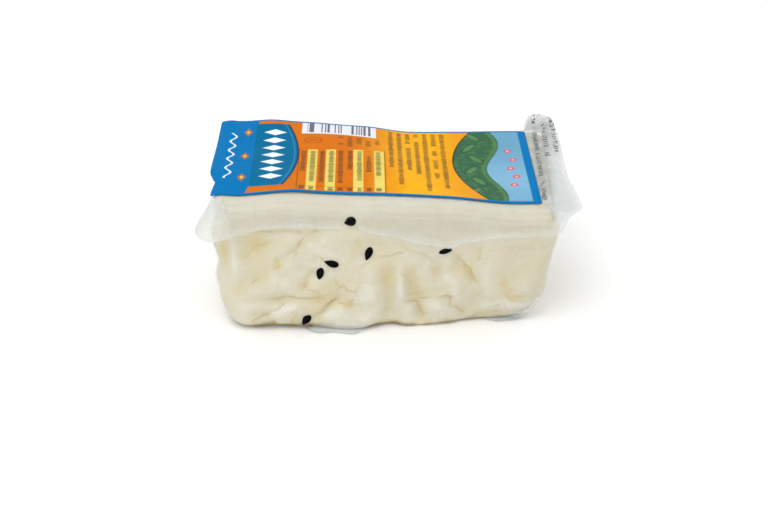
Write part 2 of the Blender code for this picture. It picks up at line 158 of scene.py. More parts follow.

# Soft swells of the curd in the front (a negative height is a hollow): x, z, reach in x and in z, and
# height, in millimetres, then how yellow its middle is, or how pale where negative. The yellow of a
# hollow is partly painted shade.
FRONT_SWELLS = (
    (-51.3, 29.0, 2.0, 8.0, -0.3, 2.6),
    # A pale strip down the left corner: a painted highlight on a low ridge
    (-47.4, 26.0, 1.5, 10.0, 0.3, -0.9),
    (-41.0, 30.2, 5.0, 4.6, -0.6, 1.2),
    (-41.6, 20.6, 4.6, 4.4, -0.5, 0.6),
    (-34.1, 24.2, 1.0, 1.8, -0.2, 2.0),
    (-30.4, 24.6, 3.0, 3.4, 0.3, -0.6),
    (-34.2, 18.4, 3.4, 3.4, 0.3, -0.8),
    (-46.6, 14.6, 2.0, 2.4, -0.3, 1.0),
    (-17.0, 30.4, 6.0, 3.6, 0.3, -0.5),
    (-22.0, 11.0, 4.0, 2.4, -0.4, 1.0),
    (-40.4, 6.4, 3.6, 1.7, -0.3, 1.3),
    (-33.5, 11.0, 4.2, 1.4, -0.3, 1.1),
    (-27.4, 4.6, 3.0, 2.6, -0.3, 0.8),
    (-34.6, 6.9, 2.6, 1.5, 0.5, -1.4),
    (-30.8, 8.8, 2.4, 1.6, 0.5, -1.4),
    (-45.0, 8.0, 3.0, 4.0, 0.4, -0.5),
    (-16.3, 6.1, 4.2, 2.8, 0.9, -1.6),
    (-6.5, 4.8, 3.9, 3.6, 0.6, -1.5),
    (-6.2, 14.8, 2.9, 4.4, 0.7, -1.4),
    (-5.6, 21.6, 2.0, 3.2, 0.4, -1.0),
    (-12.6, 10.8, 1.6, 1.3, -0.4, 2.0),
    (-17.6, 15.2, 3.4, 3.4, -0.3, 0.6),
    (-8.5, 31.0, 1.6, 2.2, -0.2, 0.9),
    (-1.0, 31.2, 6.0, 1.8, -0.2, 0.7),
    (0.0, 18.4, 2.2, 5.4, -0.6, 1.4),
    (0.5, 10.4, 1.2, 3.8, -0.4, 1.2),
    (4.2, 17.6, 1.4, 5.2, 0.5, -1.4),
    (8.0, 16.8, 1.7, 3.8, -0.4, 1.1),
    (9.1, 12.2, 1.8, 2.4, -0.4, 1.4),
    (10.6, 7.2, 1.4, 2.8, -0.3, 1.6),
    (6.2, 7.6, 2.0, 2.6, 0.4, -0.9),
    (15.6, 8.8, 4.2, 3.2, 0.6, -1.3),
    (15.3, 21.8, 1.6, 2.4, -0.3, 1.1),
    (16.4, 15.4, 2.8, 1.3, -0.2, 0.9),
    (11.9, 22.8, 1.9, 4.0, 0.3, -0.9),
    (18.8, 19.8, 1.7, 1.5, 0.2, -0.9),
    (21.5, 13.4, 1.7, 5.0, 0.4, -1.1),
    (21.4, 22.6, 1.8, 2.2, -0.2, 0.9),
    (25.2, 22.2, 1.4, 1.8, -0.3, 1.9),
    (28.0, 14.0, 3.0, 3.0, -0.2, 0.7),
    (31.2, 19.6, 2.4, 6.4, 0.5, -1.0),
    (42.0, 21.4, 7.8, 8.4, -0.7, 0.75),
    (36.6, 17.2, 1.4, 2.6, -0.3, 1.9),
    (38.6, 14.2, 1.6, 2.0, -0.3, 1.7),
    (42.0, 12.6, 3.0, 1.4, -0.5, 2.2),
    (46.6, 15.6, 2.0, 2.6, -0.3, 1.6),
    (48.6, 21.0, 1.6, 4.0, -0.2, 1.3),
    (50.0, 26.0, 1.0, 2.4, 0.0, 0.9),
    (38.6, 9.6, 5.0, 1.6, 0.5, -1.1),
    (45.0, 11.4, 2.4, 1.3, 0.3, -1.1),
    (31.6, 9.0, 2.6, 1.5, 0.4, -1.0),
    (34.6, 6.6, 4.4, 1.2, -0.3, 0.9),
    (-32.0, 0.2, 10.0, 1.9, -3.2, 1.2),
    (8.5, 2.2, 6.5, 2.6, 1.7, -0.4),
    (22.0, 3.4, 8.0, 2.4, 0.8, 0.0),
    # The next two only darken the middle of the front: painted shade
    (-8.0, 20.0, 14.0, 9.0, 0.0, 0.45),
    (14.0, 17.0, 13.0, 9.0, 0.0, 0.35),
    (-13.0, 1.6, 5.0, 3.0, 0.9, -0.9),
)

# Lumps at the ends that show in the outline: x, y, z, reach and height in millimetres
END_LUMPS = (
    (-53.0, -25.0, 17.0, 6.5, 1.5),
    (-53.0, -25.0, 27.0, 4.0, 0.4),
    (-53.5, -25.0, 34.0, 5.0, 2.0),
    (-50.0, -26.0, 8.0, 6.0, 0.7),
    (50.5, -23.0, 24.5, 7.0, 1.3),
    (53.0, -23.0, 33.5, 6.0, 1.7),
    (49.0, -24.0, 10.0, 8.0, 3.3),
    (45.0, -27.0, 3.5, 4.0, 0.8),
)

# Seeds that show at the front: x and z of the middle in millimetres, the turn, and how stout it is
FRONT_SEEDS = (
    (-5.8, 27.4, 251.0, 0.95),
    (-17.3, 24.2, 160.0, 0.98),
    (-20.9, 20.5, 262.0, 0.96),
    (-25.5, 3.8, 234.0, 1.04),
    (18.3, 28.0, 10.0, 0.86),
    (-11.4, 39.2, 198.0, 1.24),
)
OTHER_SEEDS = 11

# Seeds: the share of their thickness that is sunk in the cheese, their thickness as a share of their
# width, and the least and greatest share of the full size
SEED_SUNK = 0.5
SEED_THICKNESS = 0.72
SEED_SIZES = (0.94, 1.03)

# Sealed edge of the lid film, at places round the pack: place, run out past the flat top in
# millimetres, and bend in degrees
SEALED_EDGE = (
    (0.00, 14.6, 58.0),
    (0.03, 14.0, 62.0),
    (0.07, 12.6, 68.0),
    (0.11, 11.2, 76.0),
    (0.17, 10.1, 82.0),
    (0.24, 9.9, 84.0),
    (0.40, 9.6, 84.0),
    (0.50, 11.6, 84.0),
    (0.60, 14.2, 84.0),
    (0.66, 15.3, 84.0),
    (0.72, 12.4, 84.0),
    (0.80, 10.2, 84.0),
    (0.90, 9.0, 84.0),
    (0.94, 9.1, 82.0),
    (0.97, 9.2, 76.0),
    (0.995, 8.4, 62.0),
    (1.02, 7.2, 38.0),
    (1.045, 6.8, 16.0),
    (1.07, 7.2, 6.0),
    (1.10, 8.0, 2.0),
    (1.14, 9.0, 2.0),
    (1.18, 9.2, 2.0),
    (1.50, 6.4, 3.0),
    (1.88, 5.6, -12.0),
    (2.00, 7.6, -52.0),
    (2.06, 7.6, -50.0),
    (2.085, 7.0, -46.0),
    (2.12, 7.6, 60.0),
    (2.18, 9.0, 84.0),
    (2.50, 10.4, 84.0),
    (2.80, 8.8, 84.0),
    (3.00, 10.4, 70.0),
    (3.12, 9.0, 84.0),
    (3.68, 9.2, 84.0),
    (3.76, 8.3, 66.0),
    (3.80, 9.0, 56.0),
    (3.84, 10.2, 50.0),
    (3.87, 11.8, 50.0),
    (3.905, 13.4, 48.0),
    (3.945, 14.4, 48.0),
    (3.97, 14.8, 52.0),
    (4.00, 14.6, 58.0),
)
FLAP_BEND_RADIUS = 0.0050
ARC_SHARE_X = 3 / 32
ARC_SHARE_Y = 3 / 16

# Waves where the label and the film under it stand off the cheese: x, y, reach x, reach y, height,
# in millimetres
LABEL_WAVES = (
    (-29.0, -26.0, 4.5, 9.0, 0.4),
    (-38.0, 29.0, 7.0, 11.0, 0.9),
    (-5.0, 30.0, 9.0, 9.0, 0.85),
    (-54.0, 30.0, 4.0, 7.0, 0.7),
)

# Shallow sags of the whole top: x, y, reach x, reach y, depth, in millimetres
TOP_SAGS = (
    (10.0, -28.0, 13.0, 14.0, 0.9),
    (-12.0, -28.0, 12.0, 12.0, 0.4),
    (-46.0, -28.0, 8.0, 9.0, 0.8),
)

# Dents of the cheese that the pouch spans: x, y, z, reach and depth in millimetres
CORNER_DENTS = (
    (49.0, -25.0, 1.5, 6.0, 0.3),
    (-49.5, -27.0, 2.0, 5.0, 0.5),
)

# The label's left end at shares of its depth from the front: how far its edge is cut in, in
# millimetres, and how stiffly it stands out past the block's edge
LEFT_END = (
    (0.0, 0.07, 0.14, 0.175, 0.21, 0.28, 0.45, 0.70, 1.0),
    (0.9, 0.9, 1.5, 1.8, 0.9, -0.4, -0.35, -0.15, 0.1),
)
LEFT_STIFFNESS = (
    (0.0, 0.10, 0.20, 0.32, 0.48, 0.70, 1.0),
    (0.42, 0.30, 0.25, 0.66, 0.60, 0.50, 0.50),
)

# How the tables of the front are read: the share of the wall's lean that lifts them, and how folds,
# swells and creases of a given height show in the relief and in the tint, which in folds and creases is
# partly painted shade
LEAN_SHARE = 0.53
FOLD_TINT = 0.3
SWELL_TINT = 0.55
CREASE_WARP_SIZE = 0.0016
CREASE_WARP = 0.40
CREASE_FADE_SIZE = 0.0045
CREASE_NARROWING = 0.62
CREASE_DEPTH = 0.44
CREASE_TINT = 0.36
CREASE_TINT_REACH = 1.2
LIP_REACH = 1.8
LIP_HEIGHT = 0.13

# Relief of the cheese all round: sizes of its features, and how far they stand out or go in
LUMP_SIZES = (0.014, 0.0065)
LUMP_HEIGHTS = (0.0011, 0.0006)
WARP_SIZE = 0.009
WARP_REACH = 0.004
VEIN_SIZES = (0.012, 0.0055)
VEIN_WIDTHS = (0.022, 0.045)
VEIN_DEPTHS = (0.00022, 0.00015)
PATCH_SIZE = 0.022
LAYER_SIZE = 0.0042
LEDGE_HEIGHT = 0.00016
CRUMB_SIZE = 0.0019
CRUMB_HEIGHT = 0.00008
BROAD_TINT_SIZE = 0.017
FRONT_QUIET = 0.72
RELIEF_CLEAR = 0.003
RELIEF_FADE = 0.009
TINT_FADE = 0.008

# Reach of a seed's dark patch in a film, of the painted shade round it, and of the film lifted over it
SEED_PATCH_REACH = 0.0032
SEED_SHADE_REACH = 0.0023
POUCH_BULGE = (0.0021, 0.0010)
LID_BULGE = (0.0030, 0.00085)

# Pouch: slack of its film, pleats at the front right corner, and the loose hem along the base
SLACK_SIZE = 0.0075
SLACK = 0.0003
STAND_OFF = 0.0004
STAND_OFF_TOP = 0.024
STAND_OFF_FADE = 0.014
CORNER_SHARE = 0.06
PLEAT_HEIGHT = 0.22
PLEAT_PITCH = 0.0027
HEM_HEIGHT = 0.0034
LEFT_HEM = (-0.030, 0.010, -0.004, 0.008)
RIGHT_HEM = (0.028, 0.010)
HEM_WIDTHS = (0.0023, 0.0015)
HEM_RIPPLE = 0.45
HEM_RIPPLE_LENGTHS = (0.0031, 0.0083)
POUCH_HAZE = 0.002
HEM_HAZE = 0.52
STAND_OFF_HAZE = 0.30
RIGHT_FOOT = (0.036, 0.006, 0.0062, 0.0030)
RIGHT_FOOT_HAZE = 0.34

# Lid film past the label's right end: where it starts in x and in y, and the width of its borders
PAST_LABEL_X = 0.0462
PAST_LABEL_Y = -0.029
PAST_LABEL_BORDERS = (0.002, 0.006)

# Lid film's edge: the bend under which it hangs loose, its ripples, and in millimetres its seal and the
# fold above the seal
LOOSE_BEND = 78.0
LOOSE_BEND_RUN = 30.0
STEEP_BEND = 60.0
RIPPLE_SIZES = (0.0075, 0.0032)
WAVER_SIZE = 0.0105
RIPPLE_HEIGHTS = (0.00026, 0.0010)
SEAL_RUN = 3.6
SEAL_BORDER = 3.2
FOLD_RUN = 5.0
FOLD_WIDTH = 0.55
EDGE_LINE_START = 0.965
EDGE_LINE_RUN = 0.03

# Haze of the lid film and how grey it is, where it lies tight, past the label, along its seal, and where
# it hangs loose at the right and at the left
TIGHT_HAZE = 0.05
EDGE_HAZE = 0.06
END_HAZE = 0.42
END_TONE = 0.6
SEAL_HAZE = 0.15
SEAL_TONE = 0.5
EDGE_LINE_HAZE = 0.13
FOLD_HAZE = 0.08
LOOSE_HAZES = (0.66, 0.68)
LOOSE_CLEARINGS = (0.36, 0.22)
LOOSE_TONES = (1.0, 0.6)
LEFT_END_RUN = 0.020

# Share of the label's waves that the lid film follows, on the top and at its bend
WAVE_SHARE_TOP = 0.85
WAVE_SHARE_BEND = 0.6

# Label: reach of the cut at its left end from the edge, and the roundness of its corners
LABEL_CUT_REACH = 0.009
LABEL_CORNER = 0.0008
LABEL_CORNER_POWER = 12

# Films: strength of the sheen, scale of the crinkles and strength of the painted highlights along their
# ridges
POUCH_LOOK = (0.14, 150.0, 0.15)
LID_LOOK = (0.20, 110.0, 0.4)

# Sheet on which the lid film's print is laid out
SHEET_WIDTH = 0.150
SHEET_DEPTH = 0.110

# Rows of dots on the lid film and the grey smear round them, partly ink and partly painted shade, in
# millimetres from the pack's middle
CODE_OVER_CHEESE = {
    "first": 48.9, "pitch": 2.9, "count": 1.0, "start": -22.0, "end": 36.0, "ragged": 0.0,
    "stroke": 1.25, "draw": 3.0}
CODE_OVER_FLAP = {
    "first": 52.1, "pitch": 3.1, "count": 3.0, "start": 8.0, "end": 42.0, "ragged": 0.2,
    "stroke": 1.45, "draw": 8.0}
SMEAR_AND_SHADE_OVER_CHEESE = {"middle": 48.9, "centre": 8.0, "half_width": 2.2, "half_length": 26.0, "softness": 6.0}
SMEAR_AND_SHADE_OVER_FLAP = {"middle": 53.0, "centre": 27.0, "half_width": 3.8, "half_length": 15.0, "softness": 9.0}

# The label's print, in millimetres from its front left corner: rows of small strokes, boxes and rules as
# left, right, front and back, and the places of what repeats
TABLE_ROWS = {
    "first": 28.8, "pitch": 2.99, "count": 9.0, "start": 5.6, "end": 31.0, "ragged": 0.45,
    "stroke": 0.6, "draw": 1.0}
SUM_ROWS = {**TABLE_ROWS, "start": 1.9, "end": 4.2, "ragged": 0.1, "draw": 6.0}
HEAD_ROWS = {
    "first": 40.6, "pitch": 2.99, "count": 5.0, "start": 34.0, "end": 42.6, "ragged": 0.5,
    "stroke": 0.66, "draw": 4.0}
TEXT_ROWS = {
    "first": 57.0, "pitch": 2.86, "count": 7.0, "start": 1.5, "end": 51.0, "ragged": 0.42,
    "stroke": 0.68, "draw": 12.0}
PALE_BOX_LEFTS = (30.1, 36.0, 44.8, 51.4)
PALE_BOX_WIDTH = 3.15
PALE_BOX_DEPTH = (1.7, 32.0)
TABLE_RULES = (
    (27.2, 27.45, 1.9, 33.0),
    (54.75, 55.0, 0.9, 33.0),
    (27.2, 55.0, 1.3, 1.5),
    (28.0, 54.9, 4.4, 4.55),
)
TABLE_RING = (31.5, 38.7)
BAR_FIELD = (27.6, 52.2, 43.9, 52.3)
BAR_SPAN = (29.4, 50.6, 44.9, 52.6)
BAND_DEPTH = (5.2, 50.2)
POINTED_PITCH = 5.4
POINTED_COUNT = 7
POINTED_START = 9.2
POINTED_MIDDLE = 18.9
LOZENGE_PLACES = (11.5, 27.0, 44.5)
LOZENGE_MIDDLE = 9.9
LEAF_COUNT = 6
SPOT_COUNT = 5
BORDER_FRONT = 1.35
BORDER_BACK = 0.9
BORDER_RIGHT = 2.6

# Colours that only shade or edge a field, in linear light
BAND_EDGE = (0.004, 0.035, 0.09)
BAND_GLOW = (0.05, 0.33, 0.55)
POINTED_WHITE = (0.86, 0.90, 0.92)
WAVE_WHITE = (0.82, 0.88, 0.93)
LOZENGE_CORE = (0.75, 0.47, 0.10)
BAR_GROUND = (0.72, 0.74, 0.78)
BAR_INK = (0.035, 0.05, 0.10)
SKY_GLOW = (0.30, 0.58, 0.78)
SKY_HATCH = (0.55, 0.80, 0.95)
FIELD_EDGE = (0.01, 0.03, 0.025)
LEAF_EDGE = (0.02, 0.075, 0.04)
SPOT_CORE = (0.85, 0.62, 0.60)
# Painted shade round the seeds
SEED_SHADE = (0.30, 0.29, 0.26)
SEED_MOTTLE = (0.006, 0.005, 0.005)

# Mesh steps
BLOCK_SPACING = (0.00034, 0.00075, 0.00090, 0.00075)
EDGE_SPACING = (0.00052, 0.00055, 0.00070, 0.00055)
WALL_STEPS = 108
EDGE_STEPS = 8
CAP_STEPS = 16
LABEL_SKEW = (0.0009, 0.0011, -0.0012)
SKIRT_STEPS = 30
SKIRT_FINE = 4
LABEL_STEPS = (200, 104)

# Camera, fitted to the photograph: the point in the middle of its frame, and how it looks at it
LOOK_AT = (-0.0010, -0.0258, 0.0240)
LOOK_DOWN = 28.0
CAMERA_DISTANCE = 0.6306
CAMERA_LENS = 94.6
CAMERA_SENSOR = 36.0

# Lights
KEY_LIGHT_PLACE = (-0.22, -0.45, 0.90)
FRONT_LIGHT_PLACE = (-0.35, -0.90, 0.35)
LIGHT_SIZE = 0.6

# Floor: its two almost equal colours
FLOOR_COLOURS = ((0.93, 0.93, 0.925), (0.95, 0.95, 0.95))


def smooth_step(value):
    """Runs from 0 to 1 with level ends as the value does."""
    clamped = np.clip(value, 0.0, 1.0)
    return clamped * clamped * (3.0 - 2.0 * clamped)


def mix(first, second, share):
    """The value a share of the way from the first to the second."""
    return first + (second - first) * share


def noise_at(points, size, offset=0.0):
    """Perlin noise at each of the points, with features of the given size."""
    scaled = points / size + offset
    return np.array([noise.noise(p) for p in scaled.tolist()])


# Sizes and colours a user would change

class PackSizes(PropertyGroup):
    """Sizes of the pack."""

    length: FloatProperty(
        name="Length", description="Length of the block at its top edge", default=0.1082, unit="LENGTH")
    depth: FloatProperty(
        name="Depth", description="Depth of the block at its top edge", default=0.0640, unit="LENGTH")
    height: FloatProperty(
        name="Height", description="Mean height of the block", default=0.0425, unit="LENGTH")
    film: FloatProperty(
        name="Film", description="Thickness of the lid film", default=0.00014, unit="LENGTH")
    label_left: FloatProperty(
        name="Label left", description="Left end of the label, laid flat", default=-0.0558, unit="LENGTH")
    label_right: FloatProperty(
        name="Label right", description="Right end of the label", default=0.0468, unit="LENGTH")
    label_front: FloatProperty(
        name="Label front", description="Front edge of the label", default=-0.0247, unit="LENGTH")
    label_back: FloatProperty(
        name="Label back", description="Back edge of the label", default=0.0284, unit="LENGTH")
    label_sheet: FloatProperty(
        name="Label sheet", description="Thickness of the label", default=0.00014, unit="LENGTH")
    seed_length: FloatProperty(
        name="Seed length", description="Length of a seed", default=0.0046, unit="LENGTH")
    seed_width: FloatProperty(
        name="Seed width", description="Width of a seed", default=0.0028, unit="LENGTH")
    seed_draw: IntProperty(
        name="Seed draw", description="Random draw of the seeds away from the front", default=5)


def colour_property(name, description, default):
    """A colour that a user can change."""
    return FloatVectorProperty(
        name=name, description=description, default=default, subtype="COLOR", min=0.0, max=1.0)


class PackColours(PropertyGroup):
    """Colours of the pack, in linear light."""

    cheese: colour_property("Cheese", "Smooth cheese", (0.612, 0.578, 0.456))
    curd: colour_property("Curd", "Pale lumps of curd", (0.685, 0.672, 0.6))
    # The hollow colour is the yellower cheese of the folds and creases, darkened with painted shade
    hollow: colour_property("Hollows", "Cheese in its folds and creases", (0.585, 0.505, 0.30))
    # The crease colour is painted shade at the bottom of the creases, veins and cracks
    crease: colour_property("Creases", "Lines at the bottom of the creases", (0.37, 0.27, 0.11))
    seeds: colour_property("Seeds", "Black seeds", (0.0025, 0.0025, 0.0025))
    film: colour_property("Film", "Milky film", (0.80, 0.79, 0.72))
    loose_film: colour_property("Loose film", "Film that lies in several layers", (0.60, 0.63, 0.62))
    code: colour_property("Code", "Grey stamped dots on the film", (0.016, 0.019, 0.03))
    orange: colour_property("Orange", "Orange field of the label", (0.62, 0.155, 0.005))
    amber: colour_property("Amber", "Yellow part of the orange field", (0.84, 0.4, 0.01))
    blue: colour_property("Blue", "Blue field and border", (0.0, 0.163, 0.425))
    teal: colour_property("Teal", "Darker band on the blue field", (0, 0.135, 0.285))
    sky: colour_property("Sky", "Light blue field", (0.085, 0.28, 0.44))
    green: colour_property("Green", "Green field", (0.04, 0.125, 0.062))
    leaf: colour_property("Leaf", "Lighter green shapes", (0.10, 0.24, 0.09))
    pink: colour_property("Pink", "Small round spots", (0.70, 0.07, 0.11))
    pale: colour_property("Pale boxes", "Pale yellow boxes", (0.74, 0.62, 0.14))
    gold: colour_property("Gold", "Small gold shapes", (0.36, 0.14, 0.015))
    ink: colour_property("Ink", "Dark small print", (0.045, 0.032, 0.018))


class StageSettings(PropertyGroup):
    """The floor and the light."""

    floor_size: FloatProperty(
        name="Floor", description="Side of the square floor", default=4.0, unit="LENGTH")
    sky: FloatProperty(name="Sky", description="Strength of the even light", default=1.02)
    key: FloatProperty(name="Key", description="Power of the large soft light", default=2.6)
    fill: FloatProperty(name="Fill", description="Power of the front light", default=0.9)


class PackSettings(PropertyGroup):
    """All settings of the pack and its stage."""

    sizes: PointerProperty(type=PackSizes)
    colours: PointerProperty(type=PackColours)
    stage: PointerProperty(type=StageSettings)


# Form of the block

def pack_sizes():
    """The sizes set in the scene."""
    return bpy.context.scene.cheese_pack.sizes


def pack_colours():
    """The colours set in the scene."""
    return bpy.context.scene.cheese_pack.colours


def origin():
    """The middle of the block at its base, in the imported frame."""
    low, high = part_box("label")
    sizes = pack_sizes()
    middle = (sizes.label_front + sizes.label_back) / 2
    return Vector((high.x - sizes.label_right, (low.y + high.y) / 2 - middle, 0.0))


class Rim:
    """Points round a rounded rectangle, from its front left corner and on past the front right one.

    points and outward are n by 2, and places run from 0 to 4, a side at a time from the front.
    """

    def __init__(self, half_x, half_y, radius, spacings):
        points, outward, places = [], [], []
        for number, spacing in enumerate(spacings):
            along, across = (half_x, half_y) if number % 2 == 0 else (half_y, half_x)
            share = ARC_SHARE_X if number % 2 == 0 else ARC_SHARE_Y
            side = self.side(along, across, radius, spacing, share)
            points.append(self.turned(side[0], number))
            outward.append(self.turned(side[1], number))
            places.append(side[2] + number)
        self.points = np.concatenate(points)
        self.outward = np.concatenate(outward)
        self.places = np.concatenate(places)

    @staticmethod
    def turned(array, quarters):
        """Flat vectors turned by a number of quarter turns."""
        for _ in range(quarters):
            array = np.stack((-array[:, 1], array[:, 0]), 1)
        return array

    @staticmethod
    def side(half_run, half_out, radius, spacing, arc_share):
        """One side with half a corner at each end: points, outward directions and places."""
        arc_steps = max(9, round(radius * math.pi / 4 / spacing))
        run_steps = round(2 * (half_run - radius) / spacing)
        arc = np.arange(arc_steps) / arc_steps
        run = np.arange(run_steps) / run_steps
        first = np.radians(225.0 + 45.0 * arc)
        last = np.radians(270.0 + 45.0 * arc)
        centre = half_run - radius
        level = radius - half_out
        around = [np.stack((np.cos(turn), np.sin(turn)), 1) for turn in (first, last)]
        straight = np.stack((mix(-centre, centre, run), np.full(run_steps, -half_out)), 1)
        points = np.concatenate((
            around[0] * radius + (-centre, level), straight, around[1] * radius + (centre, level)))
        down = np.tile((0.0, -1.0), (run_steps, 1))
        outward = np.concatenate((around[0], down, around[1]))
        places = np.concatenate((
            arc * arc_share, mix(arc_share, 1.0 - arc_share, run), 1.0 - arc_share + arc * arc_share))
        return points, outward, places


def swells(x, y, rows):
    """Sum in metres of soft round swells: rows of x, y, reach x, reach y and height in millimetres."""
    total = np.zeros(np.shape(x))
    for x_0, y_0, reach_x, reach_y, height in rows:
        away = ((x / MM - x_0) / reach_x) ** 2 + ((y / MM - y_0) / reach_y) ** 2
        total += height * MM * np.exp(-away)
    return total


def lumps_at(grid, rows):
    """Sum in metres of soft round lumps: rows of x, y, z, reach and height in millimetres."""
    total = np.zeros(grid.shape[:2])
    for x, y, z, reach, height in rows:
        away = ((grid / MM - (x, y, z)) ** 2).sum(2) / reach ** 2
        total += height * MM * np.exp(-away)
    return total


def top_height(x, y):
    """Height of the block's top, with its slanting rise and slight waves."""
    rise = smooth_step(0.5 - (x - RISE_CENTRE + RISE_SLANT * y) / RISE_WIDTH)
    flat = np.stack((x.ravel(), y.ravel(), np.full(x.size, 0.3)), 1)
    wave = noise_at(flat, TOP_WAVE_LENGTH).reshape(x.shape)
    sag = swells(x, y, TOP_SAGS)
    return pack_sizes().height + TOP_RISE * (rise - 0.5) + TOP_WAVE * wave - sag


def front_draft(x):
    """How far the front wall leans back, in degrees: more towards the right."""
    share = smooth_step((x - FRONT_TWIST_START) / FRONT_TWIST_RUN)
    return mix(FRONT_DRAFT_LEFT, FRONT_DRAFT_RIGHT, share)


def wall_grid(rim, base, lift):
    """Rows of points up the block's wall, from the base's edge to the flat top's edge."""
    sizes = pack_sizes()
    half_x, half_y, height = sizes.length / 2, sizes.depth / 2, sizes.height
    x, y = rim.points.T
    radius = mix(base[0], base[1], smooth_step((np.abs(x) - half_x + BASE_REACH) / BASE_REACH))
    rows = []
    turns = np.linspace(0.0, math.pi / 2, EDGE_STEPS + 1)
    for turn in turns:
        rows.append((height - radius * (1.0 - math.cos(turn)), radius * (1.0 - math.sin(turn))))
    for share in np.arange(1, WALL_STEPS) / WALL_STEPS:
        rows.append((height - mix(radius, height - TOP_EDGE_RADIUS, share), 0.0 * x))
    for turn in turns:
        drop = TOP_EDGE_RADIUS * (1.0 - math.sin(turn))
        rows.append((drop + 0.0 * x, TOP_EDGE_RADIUS * (1.0 - math.cos(turn)) + 0.0 * x))
    depth = np.stack([row[0] for row in rows])
    inset = np.stack([row[1] for row in rows])
    end_draft = np.where(x < 0, LEFT_DRAFT, RIGHT_DRAFT)
    side_draft = np.where(y < 0, front_draft(x), BACK_DRAFT)
    end_inset = depth * np.tan(np.radians(end_draft)) + inset
    side_inset = depth * np.tan(np.radians(side_draft)) + inset
    moved_x = x * (half_x - end_inset) / half_x
    moved_y = y * (half_y - side_inset) / half_y
    z = (top_height(moved_x, moved_y) + lift) * (1.0 - depth / height)
    return np.stack((moved_x, moved_y, z), 2)


def line_distance(x, z, start, end):
    """(distance, side) of points from a stretch between two points, all in the wall's x and z."""
    along = (end[0] - start[0], end[1] - start[1])
    length = along[0] ** 2 + along[1] ** 2
    off_x, off_z = x - start[0], z - start[1]
    share = np.clip((off_x * along[0] + off_z * along[1]) / length, 0.0, 1.0)
    side = np.sign(along[0] * off_z - along[1] * off_x)
    return np.hypot(off_x - share * along[0], off_z - share * along[1]), side


def path_distance(x, z, points):
    """(distance, side) of points from a path through several points."""
    best, best_side = None, None
    for start, end in zip(points, points[1:]):
        away, side = line_distance(x, z, start, end)
        if best is None:
            best, best_side = away, side
            continue
        nearer = away < best
        best = np.where(nearer, away, best)
        best_side = np.where(nearer, side, best_side)
    return best, best_side


def front_relief(grid):
    """(depth, tint, line) of the folds, creases and swells at the front; the depth is in metres.

    A tint over 0 is yellower than smooth cheese, and one under 0 paler, and a line marks the bottom of
    a crease; in the folds and creases both are partly painted shade. The tables give heights as on an
    upright wall, and the wall leans back, so they are read a little above the place they shape.
    """
    x = grid[..., 0] / MM
    lean = np.tan(np.radians(front_draft(grid[..., 0])))
    z = grid[..., 2] / MM
    z = z + LEAN_SHARE * lean * (pack_sizes().height / MM - z)
    depth = np.zeros(x.shape)
    tint = np.zeros(x.shape)
    line = np.zeros(x.shape)
    for x_a, z_a, x_b, z_b, width, fold in FRONT_FOLDS:
        away = line_distance(x, z, (x_a, z_a), (x_b, z_b))[0] / width
        share = np.exp(-away * away)
        depth += fold * share
        # Folds that go in get a yellower, darker tint: partly painted shade
        tint += max(fold, 0.0) * FOLD_TINT * share
    for x_0, z_0, reach_x, reach_z, height, yellow in FRONT_SWELLS:
        share = np.exp(-((x - x_0) / reach_x) ** 2 - ((z - z_0) / reach_z) ** 2)
        depth -= height * share
        tint += yellow * SWELL_TINT * share
    flat = grid.reshape(-1, 3)
    warp = noise_at(flat, CREASE_WARP_SIZE, 4.0).reshape(x.shape) * CREASE_WARP
    fade = smooth_step(noise_at(flat, CREASE_FADE_SIZE, 8.0).reshape(x.shape) * 1.6 + 0.55)
    for width, crease, yellow, points in FRONT_CREASES:
        away, side = path_distance(x + warp, z - warp, points)
        narrow = away / (CREASE_NARROWING * width)
        near = np.exp(-narrow * narrow)
        lip = side * (1.0 - near) * np.exp(-((away / LIP_REACH) ** 2)) * LIP_HEIGHT
        depth += crease * CREASE_DEPTH * near - lip
        # A crease's dark line and yellower sides: partly painted shade
        line = np.maximum(line, yellow * near * fade)
        tint += yellow * CREASE_TINT * np.exp(-((away / CREASE_TINT_REACH) ** 2))
    return depth * MM, tint, line


